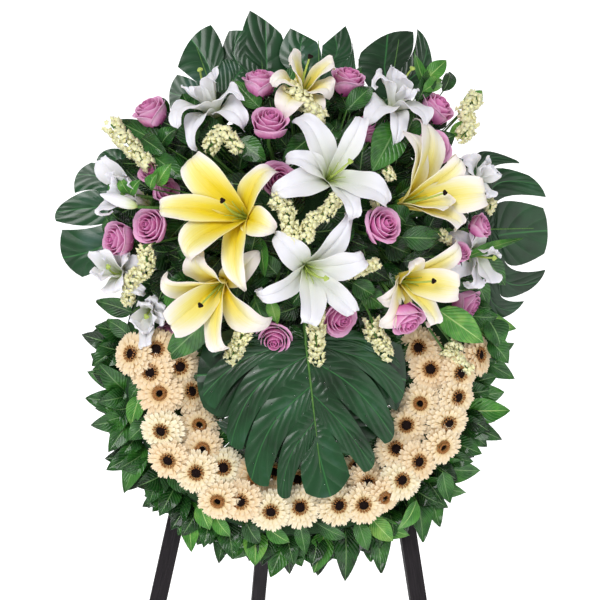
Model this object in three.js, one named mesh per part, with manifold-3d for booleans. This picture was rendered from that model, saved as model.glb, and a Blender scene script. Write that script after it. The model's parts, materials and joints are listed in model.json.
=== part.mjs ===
// A standing funeral wreath on its wooden tripod easel.
// Millimetres, +Z up, front towards -Y, origin on the floor under the middle of the whole.

import * as THREE from 'three';
import { ConvexGeometry } from 'three/addons/geometries/ConvexGeometry.js';
import { mergeVertices } from 'three/addons/utils/BufferGeometryUtils.js';
import Module from 'manifold-3d';

const wasm = await Module();
wasm.setup();

// Driving dimensions
const GAP = 0.3; // clearance that touching pieces keep
const LEAN = THREE.MathUtils.degToRad(12); // front legs lean back from upright
const RING_HEIGHT = 1130; // along the front legs, floor to the ring's centre

// Easel
const LEG_WIDTH = 29;
const LEG_THICK = 20;
const LEG_HALF_SPREAD = 150; // centre of a front leg from the midline, level with the ring's centre
const LEG_SLOPE = 0.19; // how much that grows for each millimetre down the leg
const LEG_TOP = 490; // above the ring's centre
const RAIL_THICK = 18;
const HEAD_BLOCK = { low: 395, high: 482 };
const UPPER_RAIL = { low: 172, high: 202 };
const LOWER_RAIL = { low: -262, high: -232 };
const OPEN_ANGLE = THREE.MathUtils.degToRad(26); // between the front legs and the rear leg
const HINGE_HEIGHT = 440;
const HINGE_KNUCKLE = 5;
const HINGE_PIN = 2.2;
const HINGE_LEAF = 2;
const HINGE_WIDTH = 54;
const HINGE_LEAF_LENGTH = 34;
const HINGE_BRIDGE = 8;
const PEG_RADIUS = 6;
const PEG_OFFSET = 62;
const PEG_SHOULDER = 16; // how far a peg stands out of the tray
const WIRE_RADIUS = 1.1;
const TIE_UP = -170;
const TIE_ROOM = { side: 3.1, back: 1.2, front: 3.5 };
const TIE_CORNER = 12;

// Ring and spray foam
const RING_RADIUS = 250;
const FOAM_HALF_WIDTH = 50;
const FOAM_HEIGHT = 46;
const FOAM_CHAMFER = 14;
const TRAY_WALL = 2.5;
const TRAY_DEPTH = 24;
const RING_SIDES = 28;
const SPRAY_FOAM = { halfWidth: 160, low: 198, high: 302, depth: 62, chamfer: 16 };

// Flowers
const GERBERA_RADIUS = 38;
const GERBERA_STEM = 2.6;
const GERBERA_STEM_LENGTH = 58;
const GERBERA_RISE = 68; // a head's distance from the middle of the foam's section
const GERBERA_FACE_RADIUS = 235; // heads outside this circle face outwards, inside it inwards
const GERBERA_TURN = 75; // how far from that circle a head leans by 45 degrees
const GERBERA_HEAD = { back: -14, rim: 1.5, middle: 1, sides: 7 };
const LILY_PETAL = 155;
const LILY_HALF_WIDTH = 24;
const LILY_THROAT = 46; // how far a throat lies below the spray's rounded front
const LILY_RISE = { least: 18, share: 0.35 }; // how far the petals' tips stand before the throat
const LILY_WIDEST = { along: 0.52, rise: 12 };
const LILY_CUP = { radius: 9, back: 14, front: 5 };
const ROSE_RADIUS = 31;
const ROSE_SUNK = 22; // how far a rose's middle lies below the spray's rounded front
const STATICE_DEPTH = { start: -8, end: 4 };
const STEM_RADIUS = 3;
const LEAF_THICK = 1.6;
const MONSTERA_STALK = { overlap: 10, radius: 3, entry: 16 };
const MONSTERA_FOLD = { rise: 0.05, droop: 0.09 }; // shares of the leaf's width

// The spray's rounded front, over the ring's top
const SPRAY = { x: -12, up: 280, halfWidth: 380, halfHeight: 290, edge: 45, swell: 150 };

// Places are given as a viewer sees them: across and up, in millimetres, on an upright sheet
// through the ring's centre that faces the viewer, who stands a little to the left.
const VIEW_DISTANCE = 2100;
const VIEW_MIDDLE = 105; // above the ring's centre, where the viewer looks
const VIEW_SIDE = THREE.MathUtils.degToRad(7.5);
const VIEW_TURN = THREE.MathUtils.degToRad(1.8);

const MATERIALS = {
  black_wood: { color: 0x1d191c, roughness: 0.85, metalness: 0 },
  steel: { color: 0x8a8c8e, roughness: 0.4, metalness: 0.9 },
  wire: { color: 0x3c4a3a, roughness: 0.5, metalness: 0.6 },
  tray: { color: 0x23452c, roughness: 0.6, metalness: 0 },
  foam: { color: 0x4b6b45, roughness: 0.95, metalness: 0 },
  gerbera: { color: 0xf5d9b8, roughness: 0.6, metalness: 0 },
  yellow_lily: { color: 0xf3e27a, roughness: 0.5, metalness: 0 },
  white_lily: { color: 0xf4f5f0, roughness: 0.5, metalness: 0 },
  rose: { color: 0xc989ad, roughness: 0.6, metalness: 0 },
  statice: { color: 0xe6e0ae, roughness: 0.7, metalness: 0 },
  monstera: { color: 0x1f4a2b, roughness: 0.3, metalness: 0 },
  foliage: { color: 0x2c6230, roughness: 0.35, metalness: 0 },
};

// Gerbera heads, in the clumps that touch each other: across, up
const GERBERA_CLUMPS = {
  upper_left: [[-290, 10], [-252, 18], [-259, -21], [-212, -10]],
  left: [[-245, -58], [-194, -56], [-240, -121], [-178, -116]],
  lower_left: [[-172, -156], [-228, -172], [-180, -194], [-136, -189]],
  bottom_left: [[-142, -243], [-103, -245], [-84, -206], [-51, -262], [-49, -201]],
  bottom: [[0, -256], [-7, -212], [65, -252], [110, -250], [145, -238]],
  lower_right: [[166, -158], [205, -177], [175, -208], [117, -214], [100, -189]],
  right: [[212, -75], [271, -63], [187, -114], [257, -108], [247, -149]],
  upper_right: [[228, -16], [275, -23], [308, 9], [210, 21]],
};

// Lilies: the throat, then the six petal tips in turn
const LILIES = {
  yellow_lily_left: {
    throat: [-91, 247],
    tips: [[-191, 362], [-250, 259], [-206, 166], [-101, 115], [-35, 224], [-37, 346]],
  },
  yellow_lily_lower_left: {
    throat: [-128, 143],
    tips: [[-184, 201], [-247, 156], [-231, 63], [-126, 14], [-40, 56], [-66, 192]],
  },
  yellow_lily_right: {
    throat: [182, 287],
    tips: [[206, 434], [166, 367], [136, 236], [276, 219], [324, 285], [268, 348]],
  },
  yellow_lily_lower_right: {
    throat: [154, 136],
    tips: [[184, 192], [110, 166], [149, 56], [228, 49], [282, 128], [276, 208]],
  },
  yellow_lily_top: {
    throat: [0, 453],
    tips: [[-23, 525], [-52, 481], [-40, 402], [40, 396], [61, 458], [68, 513]],
  },
  white_lily_top: {
    throat: [46, 313],
    tips: [[-18, 436], [-54, 364], [-65, 294], [119, 238], [159, 271], [107, 436]],
  },
  white_lily_middle: {
    throat: [7, 166],
    tips: [[-52, 228], [-93, 107], [7, 54], [105, 74], [128, 191], [93, 268]],
  },
  white_lily_upper_left: {
    throat: [-144, 422],
    tips: [[-140, 499], [-203, 458], [-224, 408], [-198, 369], [-89, 416], [-96, 464]],
  },
  white_lily_upper_right: {
    throat: [156, 427],
    tips: [[161, 497], [119, 492], [114, 420], [172, 380], [228, 410], [203, 458]],
  },
  white_lily_left: {
    throat: [-266, 275],
    tips: [[-338, 354], [-357, 240], [-300, 215], [-230, 240], [-215, 300], [-270, 345]],
  },
  white_lily_lower_left: {
    throat: [-308, 149],
    tips: [[-350, 206], [-362, 136], [-315, 105], [-262, 110], [-255, 165], [-290, 205]],
  },
  white_lily_right: {
    throat: [292, 194],
    tips: [[315, 254], [255, 230], [250, 160], [301, 130], [350, 150], [345, 208]],
  },
};

// Roses: across and up
const ROSES = {
  rose_upper_left: [-261, 434],
  rose_top_middle: [-52, 416],
  rose_far_left: [-318, 210],
  rose_left: [-261, 234],
  rose_middle_right: [140, 233],
  rose_lower_middle: [-44, 38],
  rose_lower_right: [68, 74],
  rose_under_lily: [186, 70],
  rose_far_right: [292, 98],
  rose_upper_right: [240, 441],
};

// Statice spikes: where each starts and ends, and its half width
const STATICE = {
  statice_hanging_middle: { from: [22, 88], to: [30, -8], halfWidth: 13 },
  statice_hanging_right: { from: [128, 68], to: [158, 8], halfWidth: 13 },
};

// Monstera leaves: the stalk's joint and the tip, each with its depth, and the width
const MONSTERAS = {
  monstera_middle: { from: [10, 35, 118], to: [42, -248, 122], width: 330 },
  monstera_behind: { from: [8, 62, 98], to: [-6, -150, 104], width: 345 },
  monstera_upper_left: { from: [-131, 411, 55], to: [-192, 578, 36], width: 190 },
  monstera_top_left: { from: [-62, 440, 40], to: [-72, 609, 26], width: 140 },
  monstera_top: { from: [34, 450, 56], to: [32, 583, 40], width: 150 },
  monstera_top_right: { from: [150, 425, 42], to: [178, 590, 28], width: 150 },
  monstera_left: { from: [-236, 254, 44], to: [-426, 254, 28], width: 225 },
  monstera_right: { from: [290, 228, 44], to: [434, 231, 28], width: 245 },
};

// Collar of small leaves around the ring's rim: the arc of each sprig, in degrees
const COLLAR = {
  collar_sprig_left: { start: 178, end: 222, leaves: 8 },
  collar_sprig_lower_left: { start: 226, end: 268, leaves: 8 },
  collar_sprig_lower_right: { start: 272, end: 314, leaves: 8 },
  collar_sprig_right: { start: 318, end: 362, leaves: 8 },
};
const COLLAR_TWIG = 2;
const COLLAR_TWIG_DEPTH = 14;
const COLLAR_TWIG_ROOM = 0.9; // keeps the straight stretches of a twig off the round tray
const COLLAR_SWAY = THREE.MathUtils.degToRad(24);
const COLLAR_LEAF = { length: 66, halfWidth: 19 };

// Solids and geometry

function solidOf(geometry) {
  geometry.deleteAttribute('normal');
  geometry.deleteAttribute('uv');
  const merged = mergeVertices(geometry, 1e-4);
  const index = merged.index.array;
  const kept = [];
  for (let i = 0; i < index.length; i += 3) {
    const [a, b, c] = [index[i], index[i + 1], index[i + 2]];
    if (a !== b && b !== c && c !== a) kept.push(a, b, c);
  }
  const vertProperties = Float32Array.from(merged.attributes.position.array);
  const build = (corners) =>
    new wasm.Manifold(new wasm.Mesh({ numProp: 3, vertProperties, triVerts: Uint32Array.from(corners) }));
  const solid = build(kept);
  return solid.volume() < 0 ? build(kept.reverse()) : solid;
}

function geometryOf(solid) {
  const mesh = solid.getMesh();
  const geometry = new THREE.BufferGeometry();
  geometry.setAttribute('position', new THREE.BufferAttribute(Float32Array.from(mesh.vertProperties), 3));
  geometry.setIndex(new THREE.BufferAttribute(Uint32Array.from(mesh.triVerts), 1));
  geometry.computeVertexNormals();
  return geometry;
}

function vec(x, y, z) {
  return new THREE.Vector3(x, y, z);
}

function largestBody(solid) {
  return solid.decompose().reduce((best, body) => (body.volume() > best.volume() ? body : best));
}

function joined(solids) {
  return solids.reduce((whole, solid) => whole.add(solid));
}

function hull(points) {
  return solidOf(new ConvexGeometry(points));
}

// A thin convex plate: its outline's points, the way it faces and its thickness
function plate(outline, facing, thickness, grow) {
  const middle = outline.reduce((sum, point) => sum.add(point), vec(0, 0, 0)).divideScalar(outline.length);
  const half = facing.clone().multiplyScalar(thickness / 2 + grow);
  const points = outline.flatMap((point) => {
    const away = point.clone().sub(middle);
    const moved = point.clone().add(away.setLength(1.5 * grow));
    return [moved.clone().add(half), moved.clone().sub(half)];
  });
  return hull(points);
}

function alongAxis(geometry, origin, axis) {
  const turn = new THREE.Quaternion().setFromUnitVectors(vec(0, 1, 0), axis);
  return geometry.applyQuaternion(turn).translate(origin.x, origin.y, origin.z);
}

function rod(from, to, radius, sides, grow) {
  const axis = to.clone().sub(from);
  const length = axis.length() + 2 * grow;
  const middle = from.clone().add(to).multiplyScalar(0.5);
  const shape = new THREE.CylinderGeometry(radius + grow, radius + grow, length, sides);
  return solidOf(alongAxis(shape, middle, axis.normalize()));
}

function turned(profile, sides, origin, axis) {
  const points = profile.map(([radius, height]) => new THREE.Vector2(radius, height));
  return solidOf(alongAxis(new THREE.LatheGeometry(points, sides), origin, axis));
}

// A board whose front and back faces have the same four corners
function board(corners, back, front) {
  return hull(corners.flatMap(([x, up]) => [vec(x, up, back), vec(x, up, front)]));
}

// From a place as it is seen to the place at a given depth in front of the legs

function sightAxes() {
  const middle = vec(0, VIEW_MIDDLE, 0);
  const back = vec(-Math.sin(VIEW_SIDE), 0, Math.cos(VIEW_SIDE));
  const eye = middle.clone().addScaledVector(back, VIEW_DISTANCE);
  const right = vec(Math.cos(VIEW_SIDE), 0, Math.sin(VIEW_SIDE));
  const up = vec(0, 1, 0);
  const [cos, sin] = [Math.cos(VIEW_TURN), Math.sin(VIEW_TURN)];
  const turnedRight = right.clone().multiplyScalar(cos).addScaledVector(up, sin);
  const turnedUp = up.clone().multiplyScalar(cos).addScaledVector(right, -sin);
  return { middle, eye, right: turnedRight, up: turnedUp };
}

const SIGHT = sightAxes();

function seenAt([across, up], depth) {
  const onSheet = SIGHT.middle.clone()
    .addScaledVector(SIGHT.right, across)
    .addScaledVector(SIGHT.up, up - VIEW_MIDDLE);
  const ray = onSheet.sub(SIGHT.eye);
  return SIGHT.eye.clone().addScaledVector(ray, (depth - SIGHT.eye.z) / ray.z);
}

function sprayDepth([across, up]) {
  const side = (across - SPRAY.x) / SPRAY.halfWidth;
  const rise = (up - SPRAY.up) / SPRAY.halfHeight;
  return SPRAY.edge + SPRAY.swell * Math.sqrt(Math.max(0.03, 1 - side * side - rise * rise));
}

function sprayFacing(place) {
  const side = (place.x - SPRAY.x) / SPRAY.halfWidth;
  const rise = (place.y - SPRAY.up) / SPRAY.halfHeight;
  return vec(0.9 * side, 0.9 * rise, 1).normalize();
}

// Where the stem of a flower in the spray enters the foam block
function sprayAnchor(place) {
  const middle = (SPRAY_FOAM.low + SPRAY_FOAM.high) / 2;
  const x = THREE.MathUtils.clamp(place.x * 0.45, -135, 135);
  const up = middle + THREE.MathUtils.clamp((place.y - middle) * 0.3, -36, 36);
  return vec(x, up, FOAM_HEIGHT + SPRAY_FOAM.depth / 2);
}

// Easel

function legCentre(up) {
  return LEG_HALF_SPREAD - LEG_SLOPE * up;
}

// How far along the legs the floor lies at a given depth
function floorLevel(depth) {
  return -RING_HEIGHT - depth * Math.tan(LEAN);
}

function frontLeg(side) {
  const half = LEG_WIDTH / 2;
  const points = [];
  for (const depth of [-LEG_THICK, 0]) {
    for (const edge of [-half, half]) {
      for (const up of [floorLevel(depth), LEG_TOP]) {
        points.push(vec(side * legCentre(up) + edge, up, depth));
      }
    }
  }
  return hull(points);
}

const RAIL_FRONT = -LEG_THICK - GAP;
const RAIL_BACK = RAIL_FRONT - RAIL_THICK;

function rail({ low, high }) {
  const reach = (up) => legCentre(up) + LEG_WIDTH / 2;
  const corners = [[-reach(low), low], [reach(low), low], [reach(high), high], [-reach(high), high]];
  return board(corners, RAIL_BACK, RAIL_FRONT);
}

const HINGE_DEPTH = RAIL_BACK - GAP - HINGE_KNUCKLE;
const HINGE_AXIS = vec(0, HINGE_HEIGHT, HINGE_DEPTH);
const LEG_DOWN = vec(0, -Math.cos(OPEN_ANGLE), -Math.sin(OPEN_ANGLE));
const LEG_BACKWARD = vec(0, Math.sin(OPEN_ANGLE), -Math.cos(OPEN_ANGLE));
const REAR_LEG_FRONT = HINGE_KNUCKLE + GAP;

// A point of the rear leg: across, down from the hinge, and back from it
function onRearLeg(x, down, back) {
  return HINGE_AXIS.clone()
    .add(vec(x, 0, 0))
    .addScaledVector(LEG_DOWN, down)
    .addScaledVector(LEG_BACKWARD, back);
}

// How far down the rear leg the floor lies, at a given distance back from the hinge
function rearLegLength(back) {
  const start = onRearLeg(0, 0, back);
  const height = (point) => (point.y + RING_HEIGHT) * Math.cos(LEAN) + point.z * Math.sin(LEAN);
  const drop = height(start) - height(onRearLeg(0, 1, back));
  return height(start) / drop;
}

// The rear leg's top runs past the hinge until it meets the head block, which stops it there
function rearLeg() {
  const half = LEG_WIDTH / 2;
  const room = HINGE_KNUCKLE + REAR_LEG_FRONT * Math.cos(OPEN_ANGLE);
  const past = room / Math.sin(OPEN_ANGLE);
  const points = [];
  for (const x of [-half, half]) {
    for (const back of [REAR_LEG_FRONT, REAR_LEG_FRONT + LEG_THICK]) {
      points.push(onRearLeg(x, -past, back), onRearLeg(x, rearLegLength(back), back));
    }
  }
  return hull(points);
}

function knuckle(fromX, toX) {
  const start = HINGE_AXIS.clone().add(vec(fromX, 0, 0));
  const end = HINGE_AXIS.clone().add(vec(toX, 0, 0));
  return rod(start, end, HINGE_KNUCKLE, 12, 0);
}

function hingeBore() {
  const reach = vec(HINGE_WIDTH, 0, 0);
  return rod(HINGE_AXIS.clone().sub(reach), HINGE_AXIS.clone().add(reach), HINGE_PIN + GAP, 12, 0);
}

const KNUCKLE_SPLIT = HINGE_WIDTH / 6;

function hingeLeafFixed() {
  const half = HINGE_WIDTH / 2;
  const high = HINGE_HEIGHT + HINGE_LEAF_LENGTH;
  const low = HINGE_HEIGHT + 1;
  const back = RAIL_BACK - GAP - HINGE_LEAF;
  const plateAt = (from, to, bottom) => {
    const corners = [[from, bottom], [to, bottom], [to, high], [from, high]];
    return board(corners, back, RAIL_BACK - GAP);
  };
  const split = KNUCKLE_SPLIT + GAP;
  // The rear leg's end comes up between the two arms of the leaf
  const arm = LEG_WIDTH / 2 + 2;
  const plates = [
    plateAt(-half, -arm, low), plateAt(arm, half, low), plateAt(-half, half, high - HINGE_BRIDGE),
  ];
  const knuckles = [knuckle(-half, -split), knuckle(split, half)];
  return joined([...plates, ...knuckles]).subtract(hingeBore());
}

function hingeLeafMoving() {
  const inner = KNUCKLE_SPLIT - GAP;
  const leaf = hull([-inner, inner].flatMap((x) => [
    onRearLeg(x, 0, HINGE_KNUCKLE - HINGE_LEAF), onRearLeg(x, 0, HINGE_KNUCKLE),
    onRearLeg(x, HINGE_LEAF_LENGTH, HINGE_KNUCKLE - HINGE_LEAF),
    onRearLeg(x, HINGE_LEAF_LENGTH, HINGE_KNUCKLE),
  ]));
  return leaf.add(knuckle(-inner, inner)).subtract(hingeBore());
}

function hingePin() {
  const reach = vec(HINGE_WIDTH / 2 + 2, 0, 0);
  return rod(HINGE_AXIS.clone().sub(reach), HINGE_AXIS.clone().add(reach), HINGE_PIN, 12, 0);
}

// The ring hangs on two pegs that pass through its hole, under its inner wall
function peg(side, grow) {
  const inner = RING_RADIUS - FOAM_HALF_WIDTH - TRAY_WALL - GAP;
  const up = Math.sqrt((inner - PEG_RADIUS) ** 2 - PEG_OFFSET ** 2) - GAP;
  const at = (depth) => vec(side * PEG_OFFSET, up, depth);
  return rod(at(RAIL_FRONT + GAP), at(TRAY_DEPTH + PEG_SHOULDER), PEG_RADIUS, 12, grow);
}

// A loop of wire ties the ring to each front leg where they cross low down
function tieWire(side, grow) {
  const outward = vec(side * legCentre(TIE_UP), TIE_UP, 0).normalize();
  const reach = FOAM_HALF_WIDTH + TRAY_WALL + TIE_ROOM.side;
  const back = -LEG_THICK - WIRE_RADIUS - TIE_ROOM.back;
  const front = FOAM_HEIGHT + WIRE_RADIUS + TIE_ROOM.front;
  const corners = [
    [-reach, front - TIE_CORNER], [TIE_CORNER - reach, front], [reach - TIE_CORNER, front],
    [reach, front - TIE_CORNER], [reach, back + TIE_CORNER], [reach - TIE_CORNER, back],
    [TIE_CORNER - reach, back], [-reach, back + TIE_CORNER],
  ];
  const points = corners.map(([off, depth]) => (
    outward.clone().multiplyScalar(RING_RADIUS + off).setZ(depth)));
  const next = (i) => points[(i + 1) % points.length];
  return joined(points.map((point, i) => rod(point, next(i), WIRE_RADIUS, 8, grow)));
}

// Ring and foam

function ringTurned(profile) {
  return turned([...profile, profile[0]], RING_SIDES, vec(0, 0, 0), vec(0, 0, 1));
}

function ringTray(grow) {
  const inner = RING_RADIUS - FOAM_HALF_WIDTH - GAP;
  const outer = RING_RADIUS + FOAM_HALF_WIDTH + GAP;
  const low = GAP;
  const floor = GAP + TRAY_WALL;
  const high = GAP + TRAY_DEPTH;
  return ringTurned([
    [inner - TRAY_WALL - grow, low - grow], [outer + TRAY_WALL + grow, low - grow],
    [outer + TRAY_WALL + grow, high + grow], [outer - grow, high + grow], [outer - grow, floor + grow],
    [inner + grow, floor + grow], [inner + grow, high + grow], [inner - TRAY_WALL - grow, high + grow],
  ]);
}

function foamRing(grow) {
  const low = GAP + TRAY_WALL + GAP;
  const half = FOAM_HALF_WIDTH + grow;
  const high = low + FOAM_HEIGHT - TRAY_WALL - GAP + grow;
  return ringTurned([
    [RING_RADIUS - half, low - grow], [RING_RADIUS + half, low - grow],
    [RING_RADIUS + half, high - FOAM_CHAMFER],
    [RING_RADIUS + half - FOAM_CHAMFER, high], [RING_RADIUS - half + FOAM_CHAMFER, high],
    [RING_RADIUS - half, high - FOAM_CHAMFER],
  ]);
}

function sprayFoam(grow) {
  const { halfWidth, low, high, depth, chamfer } = SPRAY_FOAM;
  const back = FOAM_HEIGHT + 3 * GAP - grow;
  const front = back + depth + 2 * grow;
  const corners = (inset) => [
    [-halfWidth - grow + inset, low - grow + inset], [halfWidth + grow - inset, low - grow + inset],
    [halfWidth + grow - inset, high + grow - inset], [-halfWidth - grow + inset, high + grow - inset],
  ];
  const ringAt = (inset, level) => corners(inset).map(([x, up]) => vec(x, up, level));
  return hull([...ringAt(0, back), ...ringAt(0, front - chamfer), ...ringAt(chamfer, front)]);
}

// Flowers

function gerberaPlace(seen) {
  const tubeMiddle = FOAM_HEIGHT / 2;
  let place = seenAt(seen, tubeMiddle + GERBERA_RISE);
  for (let i = 0; i < 2; i += 1) {
    const reach = Math.hypot(place.x, place.y) - RING_RADIUS;
    const off = THREE.MathUtils.clamp(reach, -FOAM_HALF_WIDTH, FOAM_HALF_WIDTH);
    place = seenAt(seen, tubeMiddle + Math.sqrt(GERBERA_RISE ** 2 - off ** 2));
  }
  return place;
}

function gerbera(seen, grow) {
  const place = gerberaPlace(seen);
  const reach = Math.hypot(place.x, place.y);
  const outward = vec(place.x, place.y, 0).normalize();
  const tilt = THREE.MathUtils.clamp((reach - GERBERA_FACE_RADIUS) / GERBERA_TURN, -0.6, 0.75);
  const facing = outward.multiplyScalar(tilt).add(vec(0, 0, 1)).normalize();
  const { back, rim, middle, sides } = GERBERA_HEAD;
  const head = turned([
    [0, back - grow], [GERBERA_STEM + grow, back - grow], [GERBERA_RADIUS + grow, -rim - grow],
    [GERBERA_RADIUS + grow, rim + grow], [0, middle + grow],
  ], sides, place, facing);
  const onCircle = vec(place.x, place.y, 0).setLength(RING_RADIUS).setZ(FOAM_HEIGHT / 2);
  const down = onCircle.sub(place).normalize();
  const start = place.clone().addScaledVector(facing, back / 2);
  const stem = rod(start, start.clone().addScaledVector(down, GERBERA_STEM_LENGTH), GERBERA_STEM, 5, grow);
  return head.add(stem);
}

function gerberaClump(heads, grow) {
  return joined(heads.map((seen) => gerbera(seen, grow)));
}

// The petals rise more where they look short, because those come towards the viewer
function lilyTip(seen, throatSeen, throatDepth) {
  const reach = Math.hypot(seen[0] - throatSeen[0], seen[1] - throatSeen[1]);
  const rise = Math.sqrt(Math.max(0, LILY_PETAL ** 2 - reach ** 2));
  return seenAt(seen, throatDepth + LILY_RISE.least + LILY_RISE.share * rise);
}

function lily({ throat: throatSeen, tips }, grow) {
  const depth = sprayDepth(throatSeen) - LILY_THROAT;
  const throat = seenAt(throatSeen, depth);
  const petals = tips.map((seen) => {
    const tip = lilyTip(seen, throatSeen, depth);
    const along = tip.clone().sub(throat);
    const widest = throat.clone().addScaledVector(along, LILY_WIDEST.along).add(vec(0, 0, LILY_WIDEST.rise));
    const side = vec(0, 0, 1).cross(along).normalize();
    const halfWidth = Math.min(LILY_HALF_WIDTH, along.length() * 0.22);
    const outline = [
      throat.clone().addScaledVector(side, LILY_CUP.radius - 2),
      throat.clone().addScaledVector(side, 2 - LILY_CUP.radius),
      widest.clone().addScaledVector(side, halfWidth), widest.clone().addScaledVector(side, -halfWidth), tip,
    ];
    return plate(outline, along.clone().cross(side).normalize(), 2, grow);
  });
  const { radius, back, front } = LILY_CUP;
  const before = (step) => throat.clone().add(vec(0, 0, step));
  const cup = rod(before(-back), before(front), radius, 6, grow);
  const stem = rod(before(-back / 2), sprayAnchor(throat), STEM_RADIUS, 5, grow);
  return joined([cup, stem, ...petals]);
}

function rose(seen, grow) {
  const place = seenAt(seen, sprayDepth(seen) - ROSE_SUNK);
  const facing = sprayFacing(place);
  const size = ROSE_RADIUS + grow;
  const head = turned([
    [0, -0.95 * size], [0.4 * size, -0.88 * size], [size, -0.1 * size], [0.85 * size, 0.62 * size],
    [0, 0.78 * size],
  ], 8, place, facing);
  const start = place.clone().addScaledVector(facing, -0.7 * ROSE_RADIUS);
  return head.add(rod(start, sprayAnchor(place), STEM_RADIUS, 5, grow));
}

function statice({ from, to, halfWidth }, grow) {
  const start = seenAt(from, sprayDepth(from) + STATICE_DEPTH.start);
  const end = seenAt(to, sprayDepth(to) + STATICE_DEPTH.end);
  const axis = end.clone().sub(start).normalize();
  const length = end.distanceTo(start);
  const head = turned([
    [0, -grow], [0.5 * halfWidth + grow, -grow], [halfWidth + grow, 0.3 * length],
    [0.7 * halfWidth + grow, 0.75 * length], [0, length + grow],
  ], 8, start, axis);
  return head.add(rod(start.clone().addScaledVector(axis, 12), sprayAnchor(start), 2, 6, grow));
}

// Leaves

// The outline of a monstera leaf: five lobes a side with slots between them
function monsteraOutline(length, width) {
  const middle = 0.4 * length;
  const reach = (angle) => {
    const along = Math.cos(angle) / (angle < Math.PI / 2 ? 0.6 * length : 0.5 * length);
    const across = Math.sin(angle) / (width / 2);
    return 1 / Math.hypot(along, across);
  };
  const point = (degrees, share) => {
    const angle = THREE.MathUtils.degToRad(degrees);
    const radius = share * reach(Math.abs(angle));
    return new THREE.Vector2(radius * Math.sin(angle), middle + radius * Math.cos(angle));
  };
  const half = [[0, 1]];
  for (const lobe of [20, 50, 80, 110, 140]) {
    half.push([lobe - 14, 0.45], [lobe - 11, 0.94], [lobe - 2, 1], [lobe + 10, 0.95]);
  }
  half.push([160, 0.86]);
  const right = half.map(([degrees, share]) => point(degrees, share));
  const left = half.slice(1).reverse().map(([degrees, share]) => point(-degrees, share));
  return [...right, new THREE.Vector2(0, 0.02 * length), ...left];
}

function monstera({ from, to, width }, grow) {
  const start = seenAt(from, from[2]);
  const end = seenAt(to, to[2]);
  const along = end.clone().sub(start);
  const length = along.length() + 2 * grow;
  along.normalize();
  const across = along.clone().cross(vec(0, 0, 1)).normalize();
  const facing = across.clone().cross(along);
  const shape = new THREE.Shape(monsteraOutline(length, width + 2 * grow));
  const thickness = LEAF_THICK + 2 * grow;
  const blade = new THREE.ExtrudeGeometry(shape, { depth: thickness, bevelEnabled: false });
  blade.translate(0, 0, -thickness / 2);
  const position = blade.attributes.position;
  for (let i = 0; i < position.count; i += 1) {
    const side = Math.abs(position.getX(i)) / (width / 2);
    position.setZ(i, position.getZ(i) + width * (MONSTERA_FOLD.rise - MONSTERA_FOLD.droop * side) * side);
  }
  blade.applyMatrix4(new THREE.Matrix4().makeBasis(across, along, facing).setPosition(start));
  const { overlap, radius, entry } = MONSTERA_STALK;
  const foot = sprayAnchor(start).setZ(FOAM_HEIGHT + entry);
  const stalk = rod(start.clone().addScaledVector(along, overlap), foot, radius, 6, grow);
  return solidOf(blade).add(stalk);
}

// One leaf of the collar: a pointed oval that leans outwards from its twig
function collarLeaf(base, outward, facing, grow) {
  const side = outward.clone().cross(facing).normalize();
  const at = (along, across) => base.clone()
    .addScaledVector(outward, along * COLLAR_LEAF.length)
    .addScaledVector(side, across * COLLAR_LEAF.halfWidth);
  const outline = [
    at(0, 0.12), at(0, -0.12), at(0.35, 0.9), at(0.35, -0.9), at(0.65, 0.8), at(0.65, -0.8), at(1, 0),
  ];
  return plate(outline, facing, LEAF_THICK, grow);
}

function collarSprig({ start, end, leaves }, grow) {
  const radius = RING_RADIUS + FOAM_HALF_WIDTH + TRAY_WALL + 2 * GAP + COLLAR_TWIG + COLLAR_TWIG_ROOM;
  const point = (degrees, depth) => {
    const angle = THREE.MathUtils.degToRad(degrees);
    return vec(radius * Math.cos(angle), radius * Math.sin(angle), depth);
  };
  const twigSteps = 5;
  const twigs = [];
  for (let i = 0; i < twigSteps; i += 1) {
    const at = (step) => start + ((end - start) * step) / twigSteps;
    const from = point(at(i), COLLAR_TWIG_DEPTH);
    const to = point(at(i + 1), COLLAR_TWIG_DEPTH);
    twigs.push(rod(from, to, COLLAR_TWIG, 6, grow));
  }
  const blades = [];
  for (let i = 0; i < leaves; i += 1) {
    const degrees = start + ((end - start) * (i + 0.5)) / leaves;
    const base = point(degrees, COLLAR_TWIG_DEPTH);
    const sway = i % 2 === 0 ? COLLAR_SWAY : -COLLAR_SWAY;
    const lift = i % 2 === 0 ? 0.42 : 0.12;
    const flat = base.clone().setZ(0).normalize().applyAxisAngle(vec(0, 0, 1), sway);
    const outward = flat.add(vec(0, 0, lift)).normalize();
    const across = vec(0, 0, 1).cross(outward).normalize();
    blades.push(collarLeaf(base, outward, outward.clone().cross(across).normalize(), grow));
  }
  return joined([...twigs, ...blades]);
}

// Assembly: each piece in turn keeps its shape except where an earlier one already is

const upright = new THREE.Group();
upright.rotation.x = Math.PI / 2 - LEAN;
upright.position.set(0, RING_HEIGHT * Math.sin(LEAN), RING_HEIGHT * Math.cos(LEAN));

const taken = [];

function addMesh(name, solid, materialName) {
  const material = new THREE.MeshStandardMaterial({ ...MATERIALS[materialName] });
  const mesh = new THREE.Mesh(geometryOf(solid), material);
  mesh.name = name;
  upright.add(mesh);
}

function reserve(solid) {
  taken.push({ solid, box: solid.boundingBox() });
}

function boxesMeet(a, b) {
  return [0, 1, 2].every((axis) => a.min[axis] < b.max[axis] && b.min[axis] < a.max[axis]);
}

function addFitted(name, build, materialName) {
  let solid = build(0);
  const box = solid.boundingBox();
  for (const other of taken) {
    if (boxesMeet(box, other.box)) solid = solid.subtract(other.solid);
  }
  solid = largestBody(solid);
  addMesh(name, solid, materialName);
  reserve(build(GAP).add(solid));
}

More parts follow.
